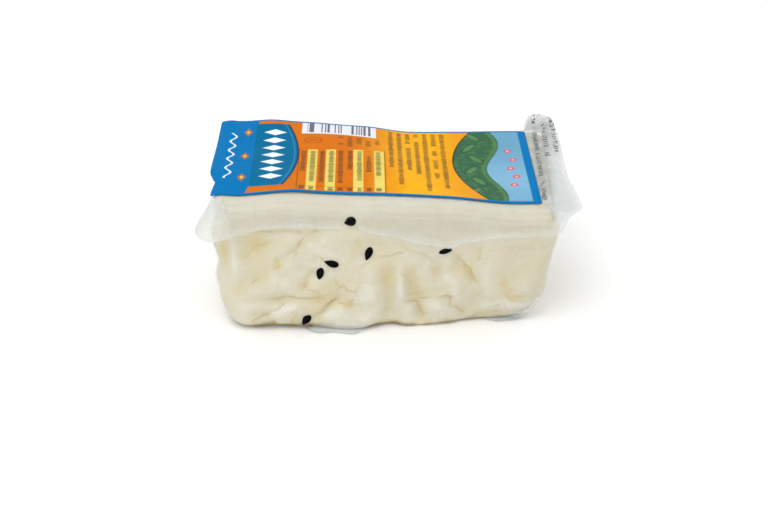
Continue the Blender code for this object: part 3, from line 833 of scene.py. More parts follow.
def curd_relief(grid, rim):
    """(outward shift, tint, line) of the cheese's wall: lumps, veins, and the folds at the front."""
    flat = grid.reshape(-1, 3)
    shape = grid.shape[:2]

    def spread(size, offset=0.0, places=flat):
        return noise_at(places, size, offset).reshape(shape)

    lumps = spread(LUMP_SIZES[0]) * LUMP_HEIGHTS[0]
    lumps += spread(LUMP_SIZES[1], np.array((7.0, 3.0, 1.0))) * LUMP_HEIGHTS[1]
    warp = np.stack([noise_at(flat, WARP_SIZE, draw) for draw in (11.0, 23.0, 37.0)], 1) * WARP_REACH
    patches = smooth_step(spread(PATCH_SIZE, 3.0) * 1.8 + 0.45)
    veins = np.abs(spread(VEIN_SIZES[0], 5.0, flat + warp))
    vein = np.exp(-((veins / VEIN_WIDTHS[0]) ** 2)) * patches
    fine_veins = np.abs(spread(VEIN_SIZES[1], 9.0, flat + warp * 0.6))
    fine = np.exp(-((fine_veins / VEIN_WIDTHS[1]) ** 2)) * (1.0 - patches) * 0.6
    layers = spread(LAYER_SIZE, 15.0, flat + warp)
    ledge = smooth_step(layers * 5.0 + 0.5) * LEDGE_HEIGHT
    crumbs = spread(CRUMB_SIZE, 2.0) * CRUMB_HEIGHT
    front = smooth_step(-rim.outward[:, 1] * 1.6 - 0.4)
    folds, tint, line = front_relief(grid)
    quiet = 1.0 - FRONT_QUIET * front
    grooves = (VEIN_DEPTHS[0] * vein + VEIN_DEPTHS[1] * fine) * quiet
    shift = lumps - front * folds - grooves + crumbs + ledge
    shift += lumps_at(grid, END_LUMPS)
    height = pack_sizes().height
    top = smooth_step((height - RELIEF_CLEAR - grid[..., 2]) / RELIEF_FADE)
    broad = spread(BROAD_TINT_SIZE, 41.0) * (1.0 - 0.6 * front)
    # The veins get a yellower tint and a dark line: partly painted shade in them
    tint = front * tint + quiet * (0.35 * vein + 0.15 * fine) + broad * 0.8 + layers * 0.25
    line = np.maximum(front * line, quiet * np.maximum(0.45 * vein, 0.6 * fine))
    below = smooth_step((height - grid[..., 2]) / TINT_FADE)
    return shift * top, tint * below, line * below


def blurred(values, steps):
    """A copy of the wall's values averaged with their neighbours, round the rim and up the wall."""
    for _ in range(steps):
        values = (np.roll(values, 2, 1) + np.roll(values, -2, 1) + 2.0 * values) / 4.0
        padded = np.pad(values, ((2, 2), (0, 0)), mode="edge")
        values = (padded[:-4] + padded[4:] + 2.0 * values) / 4.0
    return values


# Meshes

def new_piece(name, points, faces, material, smooth=True):
    """An object with a mesh of the given points and faces, and its material."""
    mesh = bpy.data.meshes.new(name)
    mesh.from_pydata(points.tolist(), [], faces)
    piece = bpy.data.objects.new(name, mesh)
    bpy.context.scene.collection.objects.link(piece)
    mesh.materials.append(material)
    if smooth:
        mesh.shade_smooth()
    return piece


def band_faces(rows, size, start=0):
    """Quads between rings of the same size, held one after another, the first lowest."""
    low = np.arange(size)
    following = (low + 1) % size
    quads = []
    for row in range(rows - 1):
        a, b = start + row * size, start + (row + 1) * size
        quads.append(np.stack((a + low, a + following, b + following, b + low), 1))
    return np.concatenate(quads).tolist()


def fan_faces(start, size, middle):
    """Triangles from the ring whose points begin at start up to the point in its middle."""
    low = np.arange(size)
    return np.stack((start + low, start + (low + 1) % size, np.full(size, middle)), 1).tolist()


def cap_rings(ring, steps):
    """Scaled copies of a ring, from the one next to it in to the smallest, and their middle."""
    middle = ring.mean(0)
    shares = 1.0 - np.arange(1, steps) / steps
    return [middle + (ring - middle) * share for share in shares], middle


def closed_shell(grid, top_level, base_level):
    """Points and faces of a block with the given wall, a shaped top and a flat base."""
    size = grid.shape[1]
    upper, top_middle = cap_rings(grid[-1, :, :2], CAP_STEPS)
    lower, base_middle = cap_rings(grid[0, :, :2], CAP_STEPS // 3)
    rings = [np.column_stack((r, np.full(size, base_level))) for r in reversed(lower)]
    rings += list(grid)
    rings += [np.column_stack((r, top_level(r[:, 0], r[:, 1]))) for r in upper]
    base = np.array([[*base_middle, base_level]])
    top = np.array([[*top_middle, float(top_level(top_middle[:1], top_middle[1:])[0])]])
    points = np.concatenate(rings + [base, top])
    count = len(rings) * size
    base_faces = [(b, a, middle) for a, b, middle in fan_faces(0, size, count)]
    faces = band_faces(len(rings), size) + base_faces + fan_faces(count - size, size, count + 1)
    return points, faces, len(lower) * size


def spread_over(values, count, before, rest):
    """The wall's values among those of all the mesh's points, the others of which get the rest's value."""
    whole = np.full(count, rest)
    whole[before:before + values.size] = values.ravel()
    return whole


def store(mesh, name, values):
    """Keeps a number for each point of a mesh."""
    attribute = mesh.attributes.new(name, "FLOAT", "POINT")
    attribute.data.foreach_set("value", np.asarray(values, np.float32))


def set_in_place(piece):
    """Moves the mesh from the script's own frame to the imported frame."""
    piece.data.transform(Matrix.Translation(origin()))
    piece.data.update()


def ride_as(piece, node):
    """Ties the piece to the one body, and hides the imported node it stands for."""
    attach(piece, "root")
    if node:
        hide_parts(node)


class Block:
    """The cheese's wall and the pouch's, worked out once for the pieces that share them."""

    made = None

    @classmethod
    def get(cls):
        """The one block, made when it is first asked for."""
        if cls.made is None:
            cls.made = cls()
        return cls.made

    def __init__(self):
        sizes = pack_sizes()
        self.rim = Rim(sizes.length / 2, sizes.depth / 2, CORNER_RADIUS, BLOCK_SPACING)
        outward = np.column_stack((self.rim.outward, np.zeros(len(self.rim.outward))))
        plain = wall_grid(self.rim, CHEESE_BASE, TOP_LIFT)
        self.shift, self.tint, self.line = curd_relief(plain, self.rim)
        dents = lumps_at(plain, CORNER_DENTS)
        self.wall = plain + outward * (self.shift - CHEESE_INSET - dents)[..., None]
        self.wall[..., 2] = np.maximum(self.wall[..., 2], 2 * FILM_GAP)
        self.taut = wall_grid(self.rim, POUCH_BASE, TOP_LIFT)
        self.outward = outward
        self.points, self.faces, self.before = closed_shell(self.wall, top_level(0.0), 2 * FILM_GAP)
        self.seeds = seed_frames(self.points, self.faces)

    def over_seeds(self, points):
        """A share for each point that is 1 where a film presses on a seed, so that it shows dark."""
        return self.near_seeds(points, SEED_PATCH_REACH, 6)

    def seed_shade(self):
        """A share for each point of the cheese that is 1 next to a seed and 0 away from them, where shade is
        painted round the seeds.
        """
        return self.near_seeds(self.points, SEED_SHADE_REACH, 3)

    def near_seeds(self, points, reach, power):
        """A share for each point that falls from 1 at the nearest seed, the sharper the higher the power."""
        total = np.zeros(len(points))
        for place, _, _ in self.seeds:
            away = np.linalg.norm(points - np.array(place), axis=1) / reach
            total = np.maximum(total, np.exp(-(away ** power)))
        return total

    def pouch(self):
        """The pouch's wall, its haze, how loose it lies, and where it lies on seeds.

        It spans the creases, stands off at the corners and along the base, and covers the seeds.
        """
        spanned = np.maximum(blurred(self.shift, 5), self.shift + FILM_GAP)
        flat = self.taut.reshape(-1, 3)
        shape = self.taut.shape[:2]
        x, z = self.taut[..., 0], self.taut[..., 2]
        slack = np.abs(noise_at(flat, SLACK_SIZE, 31.0)).reshape(shape) * SLACK
        corner = np.exp(-(((self.rim.places - 1.0) / CORNER_SHARE) ** 2))
        pleats = 1.0 + PLEAT_HEIGHT * np.sin(z / PLEAT_PITCH + 1.6 * np.sin(self.rim.places * 20.0))
        stand_off = corner * smooth_step((STAND_OFF_TOP - z) / STAND_OFF_FADE) * STAND_OFF
        front = smooth_step(-self.rim.outward[:, 1] * 2.0 - 0.6)
        hem = self.hem(x, z, front)
        shift = spanned + slack + stand_off * pleats + hem
        grid = self.taut + self.outward * shift[..., None]
        reach, lift = POUCH_BULGE
        for place, outward, _ in self.seeds:
            away = np.linalg.norm(grid - np.array(place), axis=2) / reach
            grid += np.array(outward) * (lift * np.exp(-(away ** 4)))[..., None]
        grid[..., 2] = np.maximum(grid[..., 2], FILM_GAP / 2)
        loose = np.clip(hem / 0.0008 + 0.5 * stand_off / STAND_OFF, 0.0, 1.0)
        haze = POUCH_HAZE + HEM_HAZE * hem / 0.0020 + STAND_OFF_HAZE * stand_off / STAND_OFF
        start, rise, top, fade = RIGHT_FOOT
        right_foot = smooth_step((x - start) / rise) * smooth_step((top - z) / fade)
        haze = haze + RIGHT_FOOT_HAZE * right_foot * front
        return grid, haze, loose, self.over_seeds(grid.reshape(-1, 3)).reshape(shape)

    @staticmethod
    def hem(x, z, front):
        """How far the pouch's loose hem stands out along the base, at the left and at the right."""
        low = smooth_step(1.0 - z / HEM_HEIGHT)
        start, rise, end, fall = LEFT_HEM
        left = smooth_step((x - start) / rise) * smooth_step((end - x) / fall)
        right = smooth_step((x - RIGHT_HEM[0]) / RIGHT_HEM[1])
        short, long = HEM_RIPPLE_LENGTHS
        ripple = 1.0 + HEM_RIPPLE * np.sin(x / short) * np.sin(x / long + 1.0)
        return low * front * (HEM_WIDTHS[0] * left + HEM_WIDTHS[1] * right) * ripple


def top_level(lift):
    """Height of the top's sheets a given distance above the cheese."""

    def level(x, y):
        return top_height(np.asarray(x, float), np.asarray(y, float)) + TOP_LIFT + lift

    return level


def label_wave(x, y):
    """How far the label and the film stand off the cheese at places on the top."""
    return swells(x, y, LABEL_WAVES)


# Shader helpers

class Shades:
    """Adds nodes to one tree and links them, so that a pattern reads like arithmetic."""

    def __init__(self, tree):
        self.tree = tree

    def node(self, kind, **settings):
        """A new node with its settings."""
        made = self.tree.nodes.new(kind)
        for name, value in settings.items():
            setattr(made, name, value)
        return made

    def feed(self, socket, value):
        """Links another socket, or sets a plain value."""
        if isinstance(value, bpy.types.NodeSocket):
            self.tree.links.new(value, socket)
        else:
            socket.default_value = value

    def math(self, operation, *values, clamp=False):
        made = self.node("ShaderNodeMath", operation=operation, use_clamp=clamp)
        for socket, value in zip(made.inputs, values):
            self.feed(socket, value)
        return made.outputs[0]

    def add(self, first, second):
        return self.math("ADD", first, second)

    def less(self, first, second):
        return self.math("SUBTRACT", first, second)

    def times(self, first, second):
        return self.math("MULTIPLY", first, second)

    def over(self, first, second):
        return self.math("DIVIDE", first, second)

    def clamped(self, value):
        """The value kept from 0 to 1."""
        return self.math("ADD", value, 0.0, clamp=True)

    def inside(self, value, edge, softness):
        """1 where the value is under the edge, 0 past it, with a soft border."""
        return self.math("ADD", self.over(self.less(edge, value), softness), 0.5, clamp=True)

    def band(self, value, low, high, softness):
        """1 between two edges and 0 past them, with soft borders."""
        under = self.inside(value, high, softness)
        return self.times(under, self.inside(self.less(0.0, value), -low, softness))

    def near(self, value, middle, reach, softness):
        """1 within a reach of the middle and 0 past it, with a soft border."""
        return self.inside(self.math("ABSOLUTE", self.less(value, middle)), reach, softness)

    def colours(self, factor, first, second):
        """A colour a share of the way from the first to the second."""
        made = self.node("ShaderNodeMix", data_type="RGBA", blend_type="MIX")
        self.feed(made.inputs[0], factor)
        for socket, value in ((made.inputs[6], first), (made.inputs[7], second)):
            self.feed(socket, value if isinstance(value, bpy.types.NodeSocket) else (*value, 1.0))
        return made.outputs[2]

    def noise(self, place, scale, detail=2.0, roughness=0.5, distortion=0.0):
        made = self.node("ShaderNodeTexNoise")
        for name, value in (
            ("Vector", place), ("Scale", scale), ("Detail", detail), ("Roughness", roughness),
            ("Distortion", distortion),
        ):
            self.feed(made.inputs[name], value)
        return made.outputs[0]

    def scaled(self, place, scale):
        """The place with each of its parts scaled."""
        made = self.node("ShaderNodeMapping")
        self.feed(made.inputs["Vector"], place)
        made.inputs["Scale"].default_value = scale
        return made.outputs[0]

    def group(self, tree, **values):
        """The outputs of a node group whose inputs get the values, named as its sockets are."""
        made = self.node("ShaderNodeGroup", node_tree=tree)
        for name, value in values.items():
            self.feed(made.inputs[name.replace("_", " ").capitalize()], value)
        return made.outputs

    def bump(self, height, strength, distance):
        made = self.node("ShaderNodeBump")
        made.inputs["Strength"].default_value = strength
        made.inputs["Distance"].default_value = distance
        self.feed(made.inputs["Height"], height)
        return made.outputs[0]


def new_group(name, inputs, outputs):
    """A shader node group with the named inputs and number outputs.

    Each input has a default number, or None for a vector.
    """
    tree = bpy.data.node_groups.new(name, "ShaderNodeTree")
    for label, default in inputs.items():
        kind = "NodeSocketVector" if default is None else "NodeSocketFloat"
        socket = tree.interface.new_socket(label, in_out="INPUT", socket_type=kind)
        if default is not None:
            socket.default_value = default
    for label in outputs:
        tree.interface.new_socket(label, in_out="OUTPUT", socket_type="NodeSocketFloat")
    source = tree.nodes.new("NodeGroupInput")
    sink = tree.nodes.new("NodeGroupOutput")
    return tree, Shades(tree), source.outputs, sink.inputs


def crinkle_group():
    """Fine creased-film height: thin ridges where two soft noises cross their middle."""
    tree, s, given, made = new_group(
        "Film crinkle", {"Place": None, "Size": 150.0, "Width": 0.05, "Ridges": 1.0}, ("Height", "Ridge"))
    broad = s.noise(given["Place"], given["Size"], 1.0, 0.4, 0.6)
    finer = s.noise(given["Place"], s.times(given["Size"], 2.7), 1.0, 0.4, 0.9)
    crossings = [s.math("ABSOLUTE", s.less(value, 0.5)) for value in (broad, finer)]
    lines = [s.clamped(s.less(1.0, s.over(value, given["Width"]))) for value in crossings]
    ridge = s.times(s.math("MAXIMUM", lines[0], s.times(lines[1], 0.6)), given["Ridges"])
    s.feed(made["Ridge"], ridge)
    s.feed(made["Height"], s.add(s.times(broad, 0.6), s.times(ridge, 0.4)))
    return tree


def haze_group():
    """How much of the film hides what is behind it: its own haze with cloudy patches, and whiter streaks
    along the crinkle ridges that are painted highlights.
    """
    tree, s, given, made = new_group(
        "Film haze", {"Place": None, "Haze": 0.2, "Ridge": 0.0, "Cloud size": 120.0, "Clouds": 0.2},
        ("Share",))
    cloud = s.less(s.noise(given["Place"], given["Cloud size"], 3.0, 0.6), 0.5)
    varied = s.times(given["Haze"], s.add(1.0, s.times(cloud, given["Clouds"])))
    # Whiter streaks along the crinkle ridges: painted highlights
    ridge = s.times(s.times(given["Ridge"], 0.12), s.clamped(s.times(given["Haze"], 10.0)))
    s.feed(made["Share"], s.clamped(s.add(varied, ridge)))
    return tree


def box_mark_group():
    """A filled rectangle of print."""
    tree, s, given, made = new_group(
        "Print box",
        {"Across": 0.0, "Along": 0.0, "Middle": 0.0, "Centre": 0.0, "Half width": 1.0, "Half length": 1.0,
         "Softness": 0.2},
        ("Mark",))
    wide = s.math("ABSOLUTE", s.less(given["Across"], given["Middle"]))
    long = s.math("ABSOLUTE", s.less(given["Along"], given["Centre"]))
    s.feed(made["Mark"], s.times(
        s.inside(wide, given["Half width"], given["Softness"]),
        s.inside(long, given["Half length"], given["Softness"])))
    return tree


def oval_mark_group():
    """A filled oval of print, and the ring along its edge."""
    tree, s, given, made = new_group(
        "Print oval",
        {"Across": 0.0, "Along": 0.0, "Half width": 1.0, "Half length": 1.0, "Line": 0.2, "Softness": 0.2},
        ("Mark", "Ring"))
    wide = s.over(given["Across"], given["Half width"])
    long = s.over(given["Along"], given["Half length"])
    reach = s.math("SQRT", s.add(s.times(wide, wide), s.times(long, long)))
    away = s.times(s.less(reach, 1.0), s.math("MINIMUM", given["Half width"], given["Half length"]))
    s.feed(made["Mark"], s.inside(away, 0.0, given["Softness"]))
    s.feed(made["Ring"], s.inside(s.math("ABSOLUTE", away), given["Line"], given["Softness"]))
    return tree


def print_rows_group():
    """Rows of small strokes in words, like print too small to read."""
    tree, s, given, made = new_group(
        "Print rows",
        {"Across": 0.0, "Along": 0.0, "First": 0.0, "Pitch": 3.0, "Count": 5.0, "Start": 0.0, "End": 10.0,
         "Ragged": 0.4, "Stroke": 0.62, "Draw": 0.0},
        ("Mark",))
    rows = s.over(s.less(given["Across"], given["First"]), given["Pitch"])
    number = s.math("FLOOR", s.add(rows, 0.5))
    away = s.times(s.math("ABSOLUTE", s.less(rows, number)), given["Pitch"])
    strokes = s.over(given["Along"], given["Stroke"])
    stroke = s.math("FLOOR", strokes)
    in_stroke = s.math("ABSOLUTE", s.less(s.math("FRACT", strokes), 0.5))

    def draw(across, along, shift):
        made_draw = s.node("ShaderNodeTexWhiteNoise", noise_dimensions="3D")
        joined = s.node("ShaderNodeCombineXYZ")
        for socket, value in zip(joined.inputs, (across, along, s.add(given["Draw"], shift))):
            s.feed(socket, value)
        s.feed(made_draw.inputs["Vector"], joined.outputs[0])
        return made_draw.outputs["Value"]

    tall = mix_numbers(s, 0.55, 0.95, draw(number, stroke, 0.0))
    thin = mix_numbers(s, 0.26, 0.46, draw(number, stroke, 5.0))
    word = s.math("FLOOR", s.over(s.add(given["Along"], s.times(draw(number, 0.0, 9.0), 4.0)), 3.7))
    in_word = s.math("GREATER_THAN", draw(number, word, 2.0), 0.1)
    span = s.less(given["End"], given["Start"])
    begin = s.add(given["Start"], s.times(s.times(span, given["Ragged"]), draw(number, 0.0, 4.0)))
    marks = (
        s.inside(away, tall, 0.3), s.inside(in_stroke, thin, 0.3), in_word,
        s.math("GREATER_THAN", given["Along"], begin), s.math("LESS_THAN", given["Along"], given["End"]),
        s.math("GREATER_THAN", number, -0.5), s.math("LESS_THAN", number, s.less(given["Count"], 0.5)))
    total = marks[0]
    for mark in marks[1:]:
        total = s.times(total, mark)
    s.feed(made["Mark"], total)
    return tree


def mix_numbers(s, first, second, share):
    """A number a share of the way from the first to the second."""
    return s.add(first, s.times(share, second - first))


def bars_group():
    """Upright bars of uneven width, in a plain made-up order."""
    tree, s, given, made = new_group(
        "Print bars", {"Across": 0.0, "Unit": 0.36, "Draw": 0.0}, ("Mark",))
    steps = s.math("FLOOR", s.over(given["Across"], given["Unit"]))
    drawn = s.node("ShaderNodeTexWhiteNoise", noise_dimensions="1D")
    s.feed(drawn.inputs["W"], s.add(steps, given["Draw"]))
    s.feed(made["Mark"], s.math("GREATER_THAN", drawn.outputs["Value"], 0.48))
    return tree


class Groups:
    """The node groups, each made once."""

    made = {}

    @classmethod
    def get(cls, name):
        """The group of that name, made when it is first asked for."""
        if name not in cls.made:
            cls.made[name] = GROUP_MAKERS[name]()
        return cls.made[name]


def new_material(name):
    """A material with an empty Principled shader; gives the material, its Shades and the shader."""
    material = bpy.data.materials.new(name)
    material.use_nodes = True
    shader = material.node_tree.nodes["Principled BSDF"]
    return material, Shades(material.node_tree), shader


def object_place(s):
    """The place of the shaded point in the object, which is also its place in the pack."""
    return s.node("ShaderNodeTexCoord").outputs["Object"]


def attribute(s, name):
    """A number stored at the mesh's points."""
    return s.node("ShaderNodeAttribute", attribute_name=name).outputs["Fac"]


# Materials

def curd_group():
    """Thin angular cracks between lumps of curd, in patches, and the lumps' height."""
    tree, s, given, made = new_group(
        "Curd cracks", {"Place": None, "Size": 200.0, "Width": 0.03, "Patches": 0.5}, ("Crack", "Height"))
    bent = s.node("ShaderNodeTexNoise")
    s.feed(bent.inputs["Vector"], given["Place"])
    s.feed(bent.inputs["Scale"], s.times(given["Size"], 1.3))
    s.feed(bent.inputs["Detail"], 2.0)
    shift = s.node("ShaderNodeVectorMath", operation="SCALE")
    s.feed(shift.inputs[0], bent.outputs["Color"])
    s.feed(shift.inputs["Scale"], 0.0035)
    moved = s.node("ShaderNodeVectorMath", operation="ADD")
    s.feed(moved.inputs[0], given["Place"])
    s.feed(moved.inputs[1], shift.outputs[0])
    cells = s.node("ShaderNodeTexVoronoi", feature="DISTANCE_TO_EDGE")
    s.feed(cells.inputs["Vector"], moved.outputs[0])
    s.feed(cells.inputs["Scale"], given["Size"])
    where = s.noise(given["Place"], s.times(given["Size"], 0.45), 2.0, 0.6)
    patch = s.clamped(s.times(s.less(where, given["Patches"]), 7.0))
    edge = s.clamped(s.less(1.0, s.over(cells.outputs["Distance"], given["Width"])))
    s.feed(made["Crack"], s.times(edge, patch))
    s.feed(made["Height"], s.clamped(s.times(cells.outputs["Distance"], 2.2)))
    return tree


def cheese_material():
    """Creamy white curd, yellower in its folds, with pale lumps, fine cracks, a damp surface, and painted
    shade in its folds, creases and cracks and round its seeds.
    """
    colours = pack_colours()
    material, s, shader = new_material("white_cheese")
    place = object_place(s)
    tint = attribute(s, "tint")
    clouds = s.noise(place, 170.0, 5.0, 0.66, 0.7)
    specks = s.noise(place, 620.0, 3.0, 0.65, 0.5)
    shade = s.add(tint, s.times(s.less(clouds, 0.5), 1.6))
    shade = s.add(shade, s.times(s.less(specks, 0.5), 0.6))
    # Yellower and darker where the tint is high: the cheese's own tone, with painted shade in its folds
    base = s.colours(s.clamped(s.times(shade, 0.8)), tuple(colours.cheese), tuple(colours.hollow))
    base = s.colours(s.clamped(s.times(shade, -1.0)), base, tuple(colours.curd))
    cracks = s.group(Groups.get("curd"), place=place, size=210.0, width=0.035, patches=0.56)
    # Painted shade at the bottom of the creases, veins and cracks
    line = attribute(s, "line")
    marks = s.math("MAXIMUM", s.times(line, 0.52), s.times(cracks["Crack"], 0.16))
    base = s.colours(s.clamped(marks), base, tuple(colours.crease))
    # Painted shade round each seed
    base = s.colours(s.times(attribute(s, "seed_shade"), 0.30), base, SEED_SHADE)
    s.feed(shader.inputs["Base Color"], base)
    s.feed(shader.inputs["Roughness"], mix_numbers(s, 0.40, 0.58, clouds))
    shader.inputs["Subsurface Weight"].default_value = 0.18
    shader.inputs["Subsurface Radius"].default_value = (1.0, 0.66, 0.36)
    shader.inputs["Subsurface Scale"].default_value = 0.0010
    shader.inputs["Specular IOR Level"].default_value = 0.35
    height = s.add(s.times(specks, 0.20), s.times(s.noise(place, 330.0, 3.0, 0.6, 0.5), 0.55))
    height = s.add(height, s.times(cracks["Height"], 0.25))
    s.feed(shader.inputs["Normal"], s.bump(height, 0.45, 0.0006))
    return material


def seed_material():
    """Dry black seed coat with a dull, finely wrinkled sheen."""
    material, s, shader = new_material("black_seed")
    place = object_place(s)
    mottle = s.noise(place, 1500.0, 3.0, 0.6)
    s.feed(shader.inputs["Base Color"], s.colours(
        s.times(mottle, 0.5), tuple(pack_colours().seeds), SEED_MOTTLE))
    s.feed(shader.inputs["Roughness"], mix_numbers(s, 0.45, 0.75, mottle))
    shader.inputs["Specular IOR Level"].default_value = 0.03
    s.feed(shader.inputs["Normal"], s.bump(mottle, 0.5, 0.0002))
    return material


def film_material(name, look, code=None):
    """Clear film that shows what is behind it, milky where its haze says."""
    sheen, size, ridges = look
    material, s, shader = new_material(name)
    place = object_place(s)
    given = attribute(s, "haze")
    crinkle = s.group(Groups.get("crinkle"), place=place, size=size, width=0.035)
    # The ridges make the film whiter along thin lines: painted highlights
    share = s.group(
        Groups.get("haze"), place=place, haze=given, ridge=s.times(crinkle["Ridge"], ridges),
        clouds=0.45)["Share"]
    colours = pack_colours()
    tone = s.colours(s.clamped(attribute(s, "loose")), tuple(colours.film), tuple(colours.loose_film))
    s.feed(shader.inputs["Roughness"], mix_numbers(s, 0.16, 0.34, s.noise(place, 260.0, 2.0)))
    shader.inputs["Specular IOR Level"].default_value = 0.4
    normal = s.bump(crinkle["Height"], 0.25, 0.0005)
    s.feed(shader.inputs["Normal"], normal)
    edge = s.node("ShaderNodeLayerWeight")
    edge.inputs["Blend"].default_value = 0.30
    s.feed(edge.inputs["Normal"], normal)
    bright = s.times(s.less(1.0, s.times(attribute(s, "loose"), 0.85)), sheen)
    shown = s.clamped(s.add(share, s.times(edge.outputs["Fresnel"], bright)))
    shown = s.times(shown, s.less(1.0, s.times(attribute(s, "over_seed"), 0.97)))
    if code:
        mark = code(s)
        tone = s.colours(mark, tone, tuple(colours.code))
        shown = s.math("MAXIMUM", shown, s.times(mark, 0.9))
    s.feed(shader.inputs["Base Color"], tone)
    clear = s.node("ShaderNodeBsdfTransparent")
    mixed = s.node("ShaderNodeMixShader")
    s.feed(mixed.inputs[0], shown)
    s.feed(mixed.inputs[1], clear.outputs[0])
    s.feed(mixed.inputs[2], shader.outputs[0])
    sink = next(n for n in s.tree.nodes if n.type == "OUTPUT_MATERIAL")
    s.feed(sink.inputs["Surface"], mixed.outputs[0])
    return material


def flat_place(s, map_name, width, depth):
    """(across, along) in millimetres on a sheet laid flat, from its UV map."""
    source = s.node("ShaderNodeUVMap", uv_map=map_name)
    parts = s.node("ShaderNodeSeparateXYZ")
    s.feed(parts.inputs[0], s.scaled(source.outputs[0], (width / MM, depth / MM, 1.0)))
    return parts.outputs[0], parts.outputs[1]


def stamped_code(s):
    """Rows of grey dots stamped along the right end of the film, in a plain made-up order."""
    across, along = flat_place(s, "flat", SHEET_WIDTH, SHEET_DEPTH)
    across = s.less(across, SHEET_WIDTH / MM / 2)
    along = s.less(along, SHEET_DEPTH / MM / 2)

    def mark(group, **values):
        return s.group(Groups.get(group), across=across, along=along, **values)["Mark"]

    first = mark("rows", **CODE_OVER_CHEESE)
    second = mark("rows", **CODE_OVER_FLAP)
    dots = s.math("MAXIMUM", first, second)
    wear = s.clamped(s.times(s.less(s.noise(object_place(s), 700.0, 2.0), 0.33), 6.0))
    over_cheese = mark("box", **SMEAR_AND_SHADE_OVER_CHEESE)
    over_flap = mark("box", **SMEAR_AND_SHADE_OVER_FLAP)
    # Grey round the dots: partly smeared ink, partly painted shade
    smear_and_shade = s.math("MAXIMUM", s.times(over_cheese, 0.52), s.times(over_flap, 0.40))
    blotches = s.clamped(s.times(s.less(s.noise(object_place(s), 240.0, 3.0), 0.22), 2.6))
    return s.math("MAXIMUM", s.times(dots, s.times(wear, 0.9)), s.times(smear_and_shade, blotches))


class Print:
    """The label's print: fields of colour laid one on another, in millimetres from its corner."""

    def __init__(self, s, width, depth):
        self.s = s
        self.across, self.along = flat_place(s, "print", width, depth)
        self.colour = None

    def lay(self, mark, colour, strength=1.0):
        """Lays a colour over the print where the mark is 1."""
        share = mark if strength == 1.0 else self.s.times(mark, strength)
        self.colour = self.s.colours(share, self.colour, colour)

    def box(self, left, right, front, back, softness=0.25):
        """A filled rectangle."""
        return self.s.group(
            Groups.get("box"), across=self.across, along=self.along, middle=(left + right) / 2,
            centre=(front + back) / 2, half_width=(right - left) / 2, half_length=(back - front) / 2,
            softness=softness)["Mark"]

    def oval(self, across, along, half_width, half_length, line=0.2, turn=0.0):
        """(mark, ring) of an oval, turned by an angle."""
        s = self.s
        x, y = s.less(self.across, across), s.less(self.along, along)
        cosine, sine = math.cos(math.radians(turn)), math.sin(math.radians(turn))
        turned_x = s.add(s.times(x, cosine), s.times(y, sine))
        turned_y = s.less(s.times(y, cosine), s.times(x, sine))
        made = s.group(Groups.get("oval"), across=turned_x, along=turned_y, half_width=half_width,
                       half_length=half_length, line=line, softness=0.3)
        return made["Mark"], made["Ring"]

    def rows(self, **values):
        """Rows of small strokes."""
        return self.s.group(Groups.get("rows"), across=self.across, along=self.along, **values)["Mark"]


def lay_orange_ground(p, colours):
    """Orange at the left, running through amber to orange again."""
    s = p.s
    drift = s.times(s.less(s.noise(object_place(s), 30.0, 2.0), 0.5), 14.0)
    place = s.add(p.across, drift)
    rise = s.clamped(s.over(s.less(place, 44.0), 16.0))
    fall = s.clamped(s.over(s.less(96.0, place), 26.0))
    p.colour = s.colours(s.times(rise, fall), tuple(colours.orange), tuple(colours.amber))


def lay_blue_end(p, colours):
    """The blue left end: a band of pointed white shapes on teal, a white wave line and gold lozenges."""
    s = p.s
    edge = s.less(13.1, s.times(s.math("MAXIMUM", s.less(8.0, p.along), 0.0), 0.22))
    p.lay(s.inside(p.across, edge, 0.3), tuple(colours.blue))
    bulge = s.over(s.less(p.along, 28.0), 23.0)
    right = s.less(27.0, s.times(s.times(bulge, bulge), 4.2))
    within = s.band(p.along, *BAND_DEPTH, 0.4)
    sides = s.times(s.inside(p.across, right, 0.3), s.inside(s.less(12.6, p.across), 0.0, 0.3))
    teal = s.times(sides, within)
    p.lay(teal, tuple(colours.teal))
    p.lay(s.times(s.near(p.across, right, 0.28, 0.25), within), BAND_EDGE, 0.9)
    glow = s.times(s.times(teal, s.near(p.across, s.less(right, 1.1), 0.2, 0.4)), 0.5)
    p.lay(glow, BAND_GLOW)
    step = s.less(s.math("FRACT", s.over(s.less(p.along, POINTED_START), POINTED_PITCH)), 0.5)
    swell = s.less(1.0, s.math("ABSOLUTE", s.over(s.less(p.across, POINTED_MIDDLE), 3.7)))
    shape = s.inside(s.math("ABSOLUTE", step), s.times(swell, 0.36), 0.07)
    end = POINTED_START + POINTED_COUNT * POINTED_PITCH
    p.lay(s.times(shape, s.band(p.along, POINTED_START, end, 0.2)), POINTED_WHITE, 0.95)
    wave = s.add(5.3, s.times(s.math("SINE", s.times(p.along, 0.95)), 0.9))
    line = s.near(p.across, wave, 0.34, 0.25)
    p.lay(s.times(line, s.band(p.along, 11.0, 44.0, 0.3)), WAVE_WHITE, 0.9)
    for along in LOZENGE_PLACES:
        x = s.math("ABSOLUTE", s.less(p.across, LOZENGE_MIDDLE))
        y = s.math("ABSOLUTE", s.less(p.along, along))
        reach = s.add(x, s.times(y, 0.55))
        p.lay(s.inside(reach, 1.5, 0.3), tuple(colours.gold), 0.9)
        p.lay(s.inside(reach, 0.75, 0.3), LOZENGE_CORE, 0.9)


